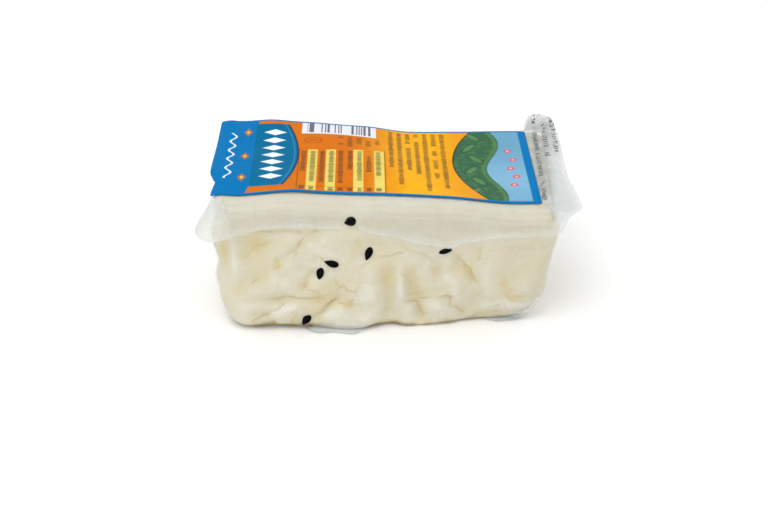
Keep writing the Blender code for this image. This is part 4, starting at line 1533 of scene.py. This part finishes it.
def lay_table(p, colours):
    """A ruled table with pale boxes and rows of unreadable print, and a bar pattern at the back."""
    s = p.s
    ink = tuple(colours.ink)
    for left in PALE_BOX_LEFTS:
        p.lay(p.box(left, left + PALE_BOX_WIDTH, *PALE_BOX_DEPTH), tuple(colours.pale), 0.95)
    p.lay(p.oval(*TABLE_RING, 2.7, 2.0, 0.13)[1], ink, 0.6)
    p.lay(p.oval(*TABLE_RING, 1.5, 0.35)[0], ink, 0.45)
    for rule in TABLE_RULES:
        p.lay(p.box(*rule, 0.2), ink, 0.75)
    for rows, strength in ((TABLE_ROWS, 0.74), (SUM_ROWS, 0.85), (HEAD_ROWS, 0.6)):
        p.lay(p.rows(**rows), ink, strength)
    p.lay(p.box(*BAR_FIELD), BAR_GROUND)
    bars = s.group(Groups.get("bars"), across=p.across, unit=0.4, draw=17.0)["Mark"]
    p.lay(s.times(bars, p.box(*BAR_SPAN, 0.3)), BAR_INK, 0.85)


def lay_text_block(p, colours):
    """Ragged rows of unreadable print in the middle of the label."""
    p.lay(p.rows(**TEXT_ROWS), tuple(colours.ink), 0.76)


def lay_right_end(p, colours):
    """The right end: a green field of leaf shapes and a light blue one with a line of pink spots."""
    s = p.s
    bend = s.less(p.along, 29.0)
    left = s.add(77.0, s.times(s.times(bend, bend), 0.0125))
    field = s.inside(s.less(left, p.across), 0.0, 0.3)
    p.lay(field, tuple(colours.sky))
    reach = s.math("ABSOLUTE", s.over(s.less(p.along, 16.0), 22.0))
    p.lay(s.times(field, s.clamped(s.less(1.0, reach))), SKY_GLOW, 0.35)
    hatch = s.math("SINE", s.times(s.add(p.across, s.times(p.along, 0.7)), 6.3))
    p.lay(s.times(field, s.clamped(s.times(hatch, 0.8))), SKY_HATCH, 0.5)
    wave = s.add(90.2, s.times(s.math("SINE", s.add(s.times(p.along, 0.16), 0.9)), 2.6))
    green = s.times(field, s.inside(p.across, wave, 0.35))
    p.lay(green, tuple(colours.green))
    tufts = s.clamped(s.times(s.less(s.noise(object_place(s), 420.0, 3.0, 0.7), 0.5), 6.0))
    p.lay(s.times(green, tufts), tuple(colours.leaf), 0.55)
    p.lay(s.times(field, s.near(p.across, s.less(wave, 1.1), 0.55, 0.9)), tuple(colours.leaf), 0.7)
    p.lay(s.near(p.across, left, 0.24, 0.25), FIELD_EDGE, 0.9)
    for number in range(LEAF_COUNT):
        side = 1 if number % 2 else -1
        mark, ring = p.oval(83.6 + 0.9 * side, 7.5 + 8.2 * number, 1.15, 3.6, 0.16, 34.0 * side)
        p.lay(s.times(mark, green), tuple(colours.leaf), 0.85)
        p.lay(s.times(ring, green), LEAF_EDGE, 0.8)
    for number in range(SPOT_COUNT):
        place = (95.3 + 1.3 * (number % 2), 13.0 + 6.2 * number)
        p.lay(p.oval(*place, 1.25, 1.25)[0], tuple(colours.pink), 0.9)
        p.lay(p.oval(*place, 0.5, 0.5)[0], SPOT_CORE, 0.8)


def label_material():
    """Glossy printed film with the generic print, slightly worn and creased."""
    sizes, colours = pack_sizes(), pack_colours()
    material, s, shader = new_material("printed_label")
    width = sizes.label_right - sizes.label_left
    depth = sizes.label_back - sizes.label_front
    p = Print(s, width, depth)
    lay_orange_ground(p, colours)
    lay_table(p, colours)
    lay_text_block(p, colours)
    lay_right_end(p, colours)
    lay_blue_end(p, colours)
    wide, long = width / MM, depth / MM
    for border in (
        (-1.0, wide + 1.0, -1.0, BORDER_FRONT),
        (-1.0, wide + 1.0, long - BORDER_BACK, long + 1.0),
        (wide - BORDER_RIGHT, wide + 1.0, -1.0, long + 1.0),
    ):
        p.lay(p.box(*border), tuple(colours.blue))
    place = object_place(s)
    shade = mix_numbers(s, 0.86, 1.10, s.noise(place, 260.0, 3.0, 0.6))
    worn = s.node("ShaderNodeVectorMath", operation="SCALE")
    s.feed(worn.inputs[0], p.colour)
    s.feed(worn.inputs["Scale"], shade)
    s.feed(shader.inputs["Base Color"], worn.outputs[0])
    s.feed(shader.inputs["Roughness"], mix_numbers(s, 0.28, 0.46, s.noise(place, 180.0, 2.0)))
    shader.inputs["Specular IOR Level"].default_value = 0.01
    crinkle = s.group(Groups.get("crinkle"), place=place, size=90.0, width=0.03)
    s.feed(shader.inputs["Normal"], s.bump(crinkle["Height"], 0.18, 0.0008))
    shader.inputs["Coat Weight"].default_value = 0.02
    shader.inputs["Coat Roughness"].default_value = 0.12
    return material


GROUP_MAKERS = {
    "crinkle": crinkle_group,
    "haze": haze_group,
    "box": box_mark_group,
    "oval": oval_mark_group,
    "rows": print_rows_group,
    "bars": bars_group,
    "curd": curd_group,
}


# Pieces

def seed_frames(points, faces):
    """(place, outward, long axis) of every seed on the cheese's wall."""
    surface = BVHTree.FromPolygons(points.tolist(), faces)
    far = 0.2
    rays = [(Vector((x * MM, -far, z * MM)), Vector((0, 1, 0)), turn) for x, z, turn, _ in FRONT_SEEDS]
    draws = random.Random(pack_sizes().seed_draw)
    for number in range(OTHER_SEEDS):
        z = draws.uniform(0.007, 0.025)
        turn = draws.uniform(0.0, 180.0)
        if number % 2 == 0:
            x = mix(-0.038, 0.038, (number + draws.random()) / OTHER_SEEDS)
            rays.append((Vector((x, far, z)), Vector((0, -1, 0)), turn))
            continue
        side = 1 if number % 4 == 1 else -1
        y = draws.uniform(-0.018, 0.018)
        rays.append((Vector((side * far, y, z)), Vector((-side, 0, 0)), turn))
    frames = []
    for start, direction, turn in rays:
        place, outward, _, _ = surface.ray_cast(start, direction)
        level = Vector((0.0, 0.0, 1.0)).cross(outward).normalized()
        upward = outward.cross(level)
        angle = math.radians(turn)
        frames.append((place, outward, level * math.cos(angle) + upward * math.sin(angle)))
    return frames


def seed_nodes():
    """Geometry nodes that put a drop-shaped seed on each point and join them into one mesh."""
    tree = bpy.data.node_groups.new("Seeds on points", "GeometryNodeTree")
    for label, kind in (
        ("Points", "NodeSocketGeometry"), ("Length", "NodeSocketFloat"), ("Width", "NodeSocketFloat"),
        ("Thickness", "NodeSocketFloat"), ("Material", "NodeSocketMaterial"),
    ):
        tree.interface.new_socket(label, in_out="INPUT", socket_type=kind)
    tree.interface.new_socket("Geometry", in_out="OUTPUT", socket_type="NodeSocketGeometry")
    nodes, links = tree.nodes, tree.links
    source, sink = nodes.new("NodeGroupInput"), nodes.new("NodeGroupOutput")
    ball = nodes.new("GeometryNodeMeshUVSphere")
    ball.inputs["Segments"].default_value = 18
    ball.inputs["Rings"].default_value = 12
    ball.inputs["Radius"].default_value = 0.5

    def value(operation, first, second):
        made = nodes.new("ShaderNodeMath")
        made.operation = operation
        for socket, given in zip(made.inputs, (first, second)):
            if isinstance(given, bpy.types.NodeSocket):
                links.new(given, socket)
            else:
                socket.default_value = given
        return made.outputs[0]

    parts = nodes.new("ShaderNodeSeparateXYZ")
    links.new(nodes.new("GeometryNodeInputPosition").outputs[0], parts.inputs[0])
    along = value("ADD", parts.outputs[2], 0.5)
    narrow = value("SUBTRACT", 1.0, value("MULTIPLY", value("POWER", along, 2.6), 0.66))
    joined = nodes.new("ShaderNodeCombineXYZ")
    links.new(value("MULTIPLY", value("MULTIPLY", parts.outputs[0], narrow), source.outputs["Width"]),
              joined.inputs[0])
    links.new(value("MULTIPLY", value("MULTIPLY", parts.outputs[1], narrow), source.outputs["Thickness"]),
              joined.inputs[1])
    links.new(value("MULTIPLY", parts.outputs[2], source.outputs["Length"]), joined.inputs[2])
    shaped = nodes.new("GeometryNodeSetPosition")
    links.new(ball.outputs["Mesh"], shaped.inputs["Geometry"])
    links.new(joined.outputs[0], shaped.inputs["Position"])
    turn = nodes.new("GeometryNodeInputNamedAttribute")
    turn.data_type = "FLOAT_VECTOR"
    turn.inputs["Name"].default_value = "turn"
    angles = nodes.new("FunctionNodeEulerToRotation")
    links.new(turn.outputs["Attribute"], angles.inputs[0])
    size = nodes.new("GeometryNodeInputNamedAttribute")
    size.data_type = "FLOAT_VECTOR"
    size.inputs["Name"].default_value = "size"
    placed = nodes.new("GeometryNodeInstanceOnPoints")
    links.new(source.outputs["Points"], placed.inputs["Points"])
    links.new(shaped.outputs["Geometry"], placed.inputs["Instance"])
    links.new(angles.outputs[0], placed.inputs["Rotation"])
    links.new(size.outputs["Attribute"], placed.inputs["Scale"])
    real = nodes.new("GeometryNodeRealizeInstances")
    links.new(placed.outputs[0], real.inputs[0])
    rounded = nodes.new("GeometryNodeSetShadeSmooth")
    links.new(real.outputs[0], rounded.inputs["Geometry"])
    painted = nodes.new("GeometryNodeSetMaterial")
    links.new(rounded.outputs[0], painted.inputs["Geometry"])
    links.new(source.outputs["Material"], painted.inputs["Material"])
    links.new(painted.outputs[0], sink.inputs[0])
    return tree


def grown(piece, tree, values):
    """Runs a geometry node tree on the piece and keeps the result as a plain mesh."""
    modifier = piece.modifiers.new("growth", "NODES")
    modifier.node_group = tree
    for item in tree.interface.items_tree:
        if item.item_type == "SOCKET" and item.in_out == "INPUT" and item.name in values:
            modifier[item.identifier] = values[item.name]
    graph = bpy.context.evaluated_depsgraph_get()
    mesh = bpy.data.meshes.new_from_object(piece.evaluated_get(graph))
    piece.modifiers.clear()
    piece.data = mesh
    return piece


class CHEESE_PACK_OT_cheese(Operator):
    """Make the block of white cheese with its folds and creases"""

    bl_idname = "cheese_pack.cheese"
    bl_label = "Cheese"

    def execute(self, context):
        block = Block.get()
        piece = new_piece("cheese_block", block.points, block.faces, cheese_material())
        for name, values in (("tint", block.tint), ("line", block.line)):
            store(piece.data, name, spread_over(values, len(block.points), block.before, 0.0))
        store(piece.data, "seed_shade", block.seed_shade())
        set_in_place(piece)
        ride_as(piece, "cheese_pouch")
        return {"FINISHED"}


class CHEESE_PACK_OT_seeds(Operator):
    """Make the black seeds that lie in the cheese under the film"""

    bl_idname = "cheese_pack.seeds"
    bl_label = "Seeds"

    def execute(self, context):
        sizes = pack_sizes()
        shift = origin()
        thickness = sizes.seed_width * SEED_THICKNESS
        draws = random.Random(sizes.seed_draw + 1)
        places, turns, scales = [], [], []
        for place, outward, long_axis in Block.get().seeds:
            basis = Matrix((outward.cross(long_axis), outward, long_axis)).transposed()
            places.append(place + outward * thickness * (0.5 - SEED_SUNK) + shift)
            turns.append(basis.to_euler())
            size = draws.uniform(*SEED_SIZES)
            stout = FRONT_SEEDS[len(scales)][3] if len(scales) < len(FRONT_SEEDS) else 1.0
            scales.append((size * stout, size * stout, size / stout))
        mesh = bpy.data.meshes.new("seeds")
        mesh.from_pydata(places, [], [])
        piece = bpy.data.objects.new("seeds", mesh)
        context.scene.collection.objects.link(piece)
        mesh.attributes.new("turn", "FLOAT_VECTOR", "POINT").data.foreach_set(
            "vector", np.array(turns, np.float32).ravel())
        mesh.attributes.new("size", "FLOAT_VECTOR", "POINT").data.foreach_set(
            "vector", np.array(scales, np.float32).ravel())
        grown(piece, seed_nodes(), {
            "Length": sizes.seed_length, "Width": sizes.seed_width, "Thickness": thickness,
            "Material": seed_material()})
        if not piece.data.polygons:
            raise RuntimeError("no seed was made")
        ride_as(piece, "cheese_pouch")
        return {"FINISHED"}


class CHEESE_PACK_OT_pouch(Operator):
    """Make the clear pouch drawn tight on the cheese"""

    bl_idname = "cheese_pack.pouch"
    bl_label = "Pouch"

    def execute(self, context):
        block = Block.get()
        grid, *wall = block.pouch()
        points, faces, before = closed_shell(grid, top_level(FILM_GAP / 2), FILM_GAP / 2)
        material = film_material("pouch_film", POUCH_LOOK)
        piece = new_piece("pouch_film", points, faces, material)
        for name, values, rest in zip(("haze", "loose", "over_seed"), wall, (0.02, 0.0, 0.0)):
            store(piece.data, name, spread_over(values, len(points), before, rest))
        set_in_place(piece)
        ride_as(piece, "cheese_pouch")
        return {"FINISHED"}


def edge_station(place):
    """(width, bend) of the sealed edge at a place round the pack."""
    for (low, width_a, bend_a), (high, width_b, bend_b) in zip(SEALED_EDGE, SEALED_EDGE[1:]):
        if place <= high:
            share = float(smooth_step((place - low) / (high - low)))
            return mix(width_a, width_b, share) * MM, mix(bend_a, bend_b, share)
    return SEALED_EDGE[0][1] * MM, SEALED_EDGE[0][2]


def edge_path(width, bend):
    """(out, down) points of the film's edge: bent to the given angle, then straight."""
    turn = math.radians(bend)
    close = TOP_EDGE_RADIUS + 2 * FILM_GAP
    radius = mix(FLAP_BEND_RADIUS, close, float(smooth_step(bend / 40.0)))
    arc = max(abs(radius * turn), 1e-6)
    count = SKIRT_STEPS * SKIRT_FINE
    step = width / count
    reached = np.minimum(1.0, (np.arange(count) + 0.5) * step / arc) * turn
    path = np.stack((np.cumsum(np.cos(reached)) * step, np.cumsum(np.sin(reached)) * step), 1)
    return path[SKIRT_FINE - 1::SKIRT_FINE]


class CHEESE_PACK_OT_lid(Operator):
    """Make the lid film with its wavy sealed edge"""

    bl_idname = "cheese_pack.lid"
    bl_label = "Lid film"

    def execute(self, context):
        sizes = pack_sizes()
        inset = TOP_EDGE_RADIUS
        rim = Rim(sizes.length / 2 - inset, sizes.depth / 2 - inset, CORNER_RADIUS - inset, EDGE_SPACING)
        level = top_level(2 * FILM_GAP)
        rows = [*self.edge(rim, level), *self.top(rim, level)]
        points, haze, tone, flat = (np.concatenate(parts) for parts in zip(*rows))
        points, haze = self.over_seeds(points, haze)
        size = len(rim.points)
        rings = len(rows) - 1
        faces = band_faces(rings, size) + fan_faces((rings - 1) * size, size, rings * size)
        material = film_material("lid_film", LID_LOOK, stamped_code)
        piece = new_piece("lid_sheet", points, faces, material)
        store(piece.data, "haze", haze)
        store(piece.data, "loose", tone)
        store(piece.data, "over_seed", Block.get().over_seeds(points))
        lay_uv(piece.data, "flat", flat / (SHEET_WIDTH, SHEET_DEPTH) + 0.5)
        thicken(piece, sizes.film)
        set_in_place(piece)
        ride_as(piece, "lid_film")
        return {"FINISHED"}

    @classmethod
    def edge(cls, rim, level):
        """Rows of the film's edge, from its free end up to where it leaves the flat top.

        A row is its points, how milky and how grey the film is at each, and their places laid flat.
        """
        x, y = rim.points.T
        start = np.column_stack((rim.points, level(x, y) + label_wave(x, y) * WAVE_SHARE_BEND))
        stations = [edge_station(place) for place in rim.places]
        paths = np.stack([edge_path(*station) for station in stations])
        widths, bends = np.array(stations).T
        loose = smooth_step((LOOSE_BEND - np.abs(bends)) / LOOSE_BEND_RUN)
        steep = smooth_step(np.abs(bends) / STEEP_BEND)
        ring = np.column_stack((rim.points, np.zeros(len(start))))
        ripple = noise_at(ring, RIPPLE_SIZES[0], 13.0) + 0.5 * noise_at(ring, RIPPLE_SIZES[1], 17.0)
        waver = noise_at(ring, WAVER_SIZE, 71.0)
        past_label = cls.past_label(rim.points)
        left_end = smooth_step(-x / LEFT_END_RUN)
        grey = loose * mix(*LOOSE_TONES, left_end)
        rows = [(start, EDGE_HAZE + END_HAZE * past_label, END_TONE * past_label, rim.points)]
        for row in range(SKIRT_STEPS):
            share = (row + 1) / SKIRT_STEPS
            out, down = paths[:, row, 0], paths[:, row, 1]
            sway = ripple * share * share * mix(*RIPPLE_HEIGHTS, loose)
            points = start.copy()
            points[:, :2] += rim.outward * (out + sway * steep)[:, None]
            points[:, 2] -= down + sway * (1.0 - steep)
            run = widths * share / MM
            seal = smooth_step((run - widths / MM + SEAL_RUN + waver) / SEAL_BORDER)
            fold = np.exp(-(((run - FOLD_RUN - waver) / FOLD_WIDTH) ** 2)) * (1.0 - loose)
            line = smooth_step((share - EDGE_LINE_START) / EDGE_LINE_RUN)
            clearing = mix(*LOOSE_CLEARINGS, left_end) * smooth_step((share - 0.5) / 0.5)
            free = mix(*LOOSE_HAZES, left_end) - clearing
            begins = smooth_step((run - 2.0 * (1.0 - loose)) / (3.0 - 2.0 * loose))
            haze = EDGE_HAZE + mix(SEAL_HAZE * seal + EDGE_LINE_HAZE * line, free, loose) * begins
            tone = np.maximum(grey * begins, END_TONE * past_label * (1.0 - share))
            tone = tone + SEAL_TONE * seal * (1.0 - loose)
            laid = rim.points + rim.outward * (run * MM)[:, None]
            rows.append((points, haze + FOLD_HAZE * fold, tone, laid))
        return rows[::-1]

    @classmethod
    def top(cls, rim, level):
        """Rows of the flat top, like those of the edge, from its border in to its middle point."""
        inner, middle = cap_rings(rim.points, CAP_STEPS + 6)
        rows = []
        for ring in inner:
            x, y = ring.T
            past_label = cls.past_label(ring)
            points = np.column_stack((ring, level(x, y) + label_wave(x, y) * WAVE_SHARE_TOP))
            rows.append((points, TIGHT_HAZE + END_HAZE * past_label, END_TONE * past_label, ring))
        centre = np.array([[*middle, float(level(middle[:1], middle[1:])[0])]])
        rows.append((centre, np.array([TIGHT_HAZE]), np.array([0.0]), middle[None]))
        return rows

    @staticmethod
    def past_label(points):
        """A share for each point that is 1 where the film lies loose past the label's right end."""
        x, y = points.T
        along, across = PAST_LABEL_BORDERS
        return smooth_step((x - PAST_LABEL_X) / along) * smooth_step((y - PAST_LABEL_Y) / across)

    @staticmethod
    def over_seeds(points, haze):
        """Lifts the film over the seeds under it, and clears its haze where they press on it."""
        reach, lift = LID_BULGE
        for place, outward, _ in Block.get().seeds:
            away = np.linalg.norm(points - np.array(place), axis=1)
            points = points + np.array(outward) * (lift * np.exp(-((away / reach) ** 4)))[:, None]
            haze = haze * (1.0 - 0.96 * np.exp(-((away / reach) ** 6)))
        return points, haze


def lay_uv(mesh, name, places):
    """Gives a mesh a UV map from a place for each point."""
    layer = mesh.uv_layers.new(name=name)
    corners = np.empty(len(mesh.loops), np.int32)
    mesh.loops.foreach_get("vertex_index", corners)
    layer.data.foreach_set("uv", places[corners].astype(np.float32).ravel())


def thicken(piece, thickness):
    """Gives a sheet its thickness, outwards, and keeps the result as a plain mesh."""
    walls = piece.modifiers.new("thickness", "SOLIDIFY")
    walls.thickness = thickness
    walls.offset = 1.0
    graph = bpy.context.evaluated_depsgraph_get()
    mesh = bpy.data.meshes.new_from_object(piece.evaluated_get(graph))
    piece.modifiers.clear()
    piece.data = mesh


class CHEESE_PACK_OT_label(Operator):
    """Make the printed label with its waves and its bent left end"""

    bl_idname = "cheese_pack.label"
    bl_label = "Label"

    def execute(self, context):
        sizes = pack_sizes()
        columns, rows = LABEL_STEPS
        u, v = np.meshgrid(np.linspace(0.0, 1.0, columns + 1), np.linspace(0.0, 1.0, rows + 1))
        left = sizes.label_left + LABEL_SKEW[0] * v
        right = sizes.label_right + mix(LABEL_SKEW[1], LABEL_SKEW[2], v)
        width = sizes.label_right - sizes.label_left
        cut_in = np.interp(v, *LEFT_END) * MM * smooth_step(1.0 - u * width / LABEL_CUT_REACH)
        x = mix(left, right, u) + cut_in + self.corner_cut(u, v, sizes) * np.sign(0.5 - u)
        y = mix(sizes.label_front, sizes.label_back, v)
        lift = 3 * FILM_GAP + sizes.film
        bend_start = TOP_EDGE_RADIUS - sizes.length / 2
        radius = TOP_EDGE_RADIUS + lift
        past = np.maximum(bend_start - x, 0.0)
        stiff = np.interp(v, *LEFT_STIFFNESS)
        turn = past / radius * (1.0 - stiff)
        rounded = np.where(turn > 1e-6, np.sin(turn) / np.maximum(turn, 1e-6), 1.0)
        level_x = np.maximum(x, bend_start)
        z = top_level(lift)(level_x, y) + label_wave(level_x, y)
        bent_x = level_x - past * rounded
        bent_z = z - radius * (1.0 - np.cos(turn))
        points = np.stack((bent_x, y, bent_z), 2).reshape(-1, 3)
        up = columns + 1
        first = np.arange(rows * up).reshape(rows, up)[:, :-1].ravel()
        faces = np.stack((first, first + 1, first + up + 1, first + up), 1).tolist()
        piece = new_piece("label_sheet", points, faces, label_material())
        lay_uv(piece.data, "print", np.stack(((u + cut_in / width).ravel(), v.ravel()), 1))
        thicken(piece, sizes.label_sheet)
        set_in_place(piece)
        ride_as(piece, "label")
        return {"FINISHED"}

    @staticmethod
    def corner_cut(u, v, sizes):
        """How far each row's end is drawn in, so that the label's corners are rounded."""
        depth = sizes.label_back - sizes.label_front
        near = np.minimum(v, 1.0 - v) * depth
        within = np.clip(1.0 - near / LABEL_CORNER, 0.0, 1.0)
        cut = LABEL_CORNER * (1.0 - np.sqrt(1.0 - within ** 2))
        return cut * np.abs(2.0 * u - 1.0) ** LABEL_CORNER_POWER


class CHEESE_PACK_OT_stage(Operator):
    """Make the pale floor, the soft light and the camera"""

    bl_idname = "cheese_pack.stage"
    bl_label = "Stage"

    def execute(self, context):
        settings = context.scene.cheese_pack.stage
        half = settings.floor_size / 2
        points = np.array([(-half, -half, 0.0), (half, -half, 0.0), (half, half, 0.0), (-half, half, 0.0)])
        material, s, shader = new_material("pale_floor")
        tone = s.noise(object_place(s), 3.0, 2.0)
        s.feed(shader.inputs["Base Color"], s.colours(tone, *FLOOR_COLOURS))
        shader.inputs["Roughness"].default_value = 0.6
        shader.inputs["Specular IOR Level"].default_value = 0.2
        floor = new_piece("floor", points, [(0, 1, 2, 3)], material, smooth=False)
        self.light("key_light", KEY_LIGHT_PLACE, settings.key)
        self.light("front_light", FRONT_LIGHT_PLACE, settings.fill)
        context.scene.view_settings.view_transform = "Standard"
        self.sky(context, settings.sky)
        self.camera(context)
        return {"FINISHED"}

    @staticmethod
    def light(name, place, power):
        """A soft round light that faces the pack."""
        lamp = bpy.data.lights.new(name, "AREA")
        lamp.shape = "DISK"
        lamp.size = LIGHT_SIZE
        lamp.energy = power
        made = bpy.data.objects.new(name, lamp)
        made.location = place
        made.rotation_euler = Vector(place).to_track_quat("Z", "Y").to_euler()
        bpy.context.scene.collection.objects.link(made)

    @staticmethod
    def sky(context, strength):
        """Even white light from all sides."""
        world = bpy.data.worlds.new("soft_sky")
        world.use_nodes = True
        background = world.node_tree.nodes["Background"]
        background.inputs["Color"].default_value = (1.0, 1.0, 1.0, 1.0)
        background.inputs["Strength"].default_value = strength
        context.scene.world = world

    @staticmethod
    def camera(context):
        """A camera at the photograph's viewing angle."""
        down = math.radians(LOOK_DOWN)
        forward = Vector((0.0, math.cos(down), -math.sin(down)))
        right = Vector((1.0, 0.0, 0.0))
        place = Vector(LOOK_AT) + origin() - forward * CAMERA_DISTANCE
        data = bpy.data.cameras.new("camera")
        data.lens = CAMERA_LENS
        data.sensor_width = CAMERA_SENSOR
        made = bpy.data.objects.new("camera", data)
        turned = Matrix((right, right.cross(forward), -forward)).transposed().to_4x4()
        made.matrix_world = Matrix.Translation(place) @ turned
        context.scene.collection.objects.link(made)
        context.scene.camera = made


class CHEESE_PACK_PT_pieces(Panel):
    """The pieces of the pack, to make one by one"""

    bl_label = "Cheese Pack"
    bl_idname = "CHEESE_PACK_PT_pieces"
    bl_space_type = "VIEW_3D"
    bl_region_type = "UI"
    bl_category = "Cheese Pack"

    def draw(self, context):
        for operator in OPERATORS:
            self.layout.operator(operator.bl_idname)
        settings = context.scene.cheese_pack
        for group in (settings.sizes, settings.colours, settings.stage):
            box = self.layout.box()
            for name in group.bl_rna.properties.keys():
                if name not in ("rna_type", "name"):
                    box.prop(group, name)


OPERATORS = (
    CHEESE_PACK_OT_cheese,
    CHEESE_PACK_OT_seeds,
    CHEESE_PACK_OT_pouch,
    CHEESE_PACK_OT_lid,
    CHEESE_PACK_OT_label,
    CHEESE_PACK_OT_stage,
)
CLASSES = (PackSizes, PackColours, StageSettings, PackSettings, *OPERATORS, CHEESE_PACK_PT_pieces)


def register():
    """Adds the classes and the settings to Blender."""
    for made in CLASSES:
        bpy.utils.register_class(made)
    bpy.types.Scene.cheese_pack = PointerProperty(type=PackSettings)


def unregister():
    """Takes the classes and the settings out again."""
    del bpy.types.Scene.cheese_pack
    for made in reversed(CLASSES):
        bpy.utils.unregister_class(made)


def main():
    """Makes every piece in order."""
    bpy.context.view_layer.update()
    register()
    bpy.ops.cheese_pack.cheese()
    bpy.ops.cheese_pack.seeds()
    bpy.ops.cheese_pack.pouch()
    bpy.ops.cheese_pack.lid()
    bpy.ops.cheese_pack.label()
    bpy.ops.cheese_pack.stage()


if __name__ == "__main__":
    main()
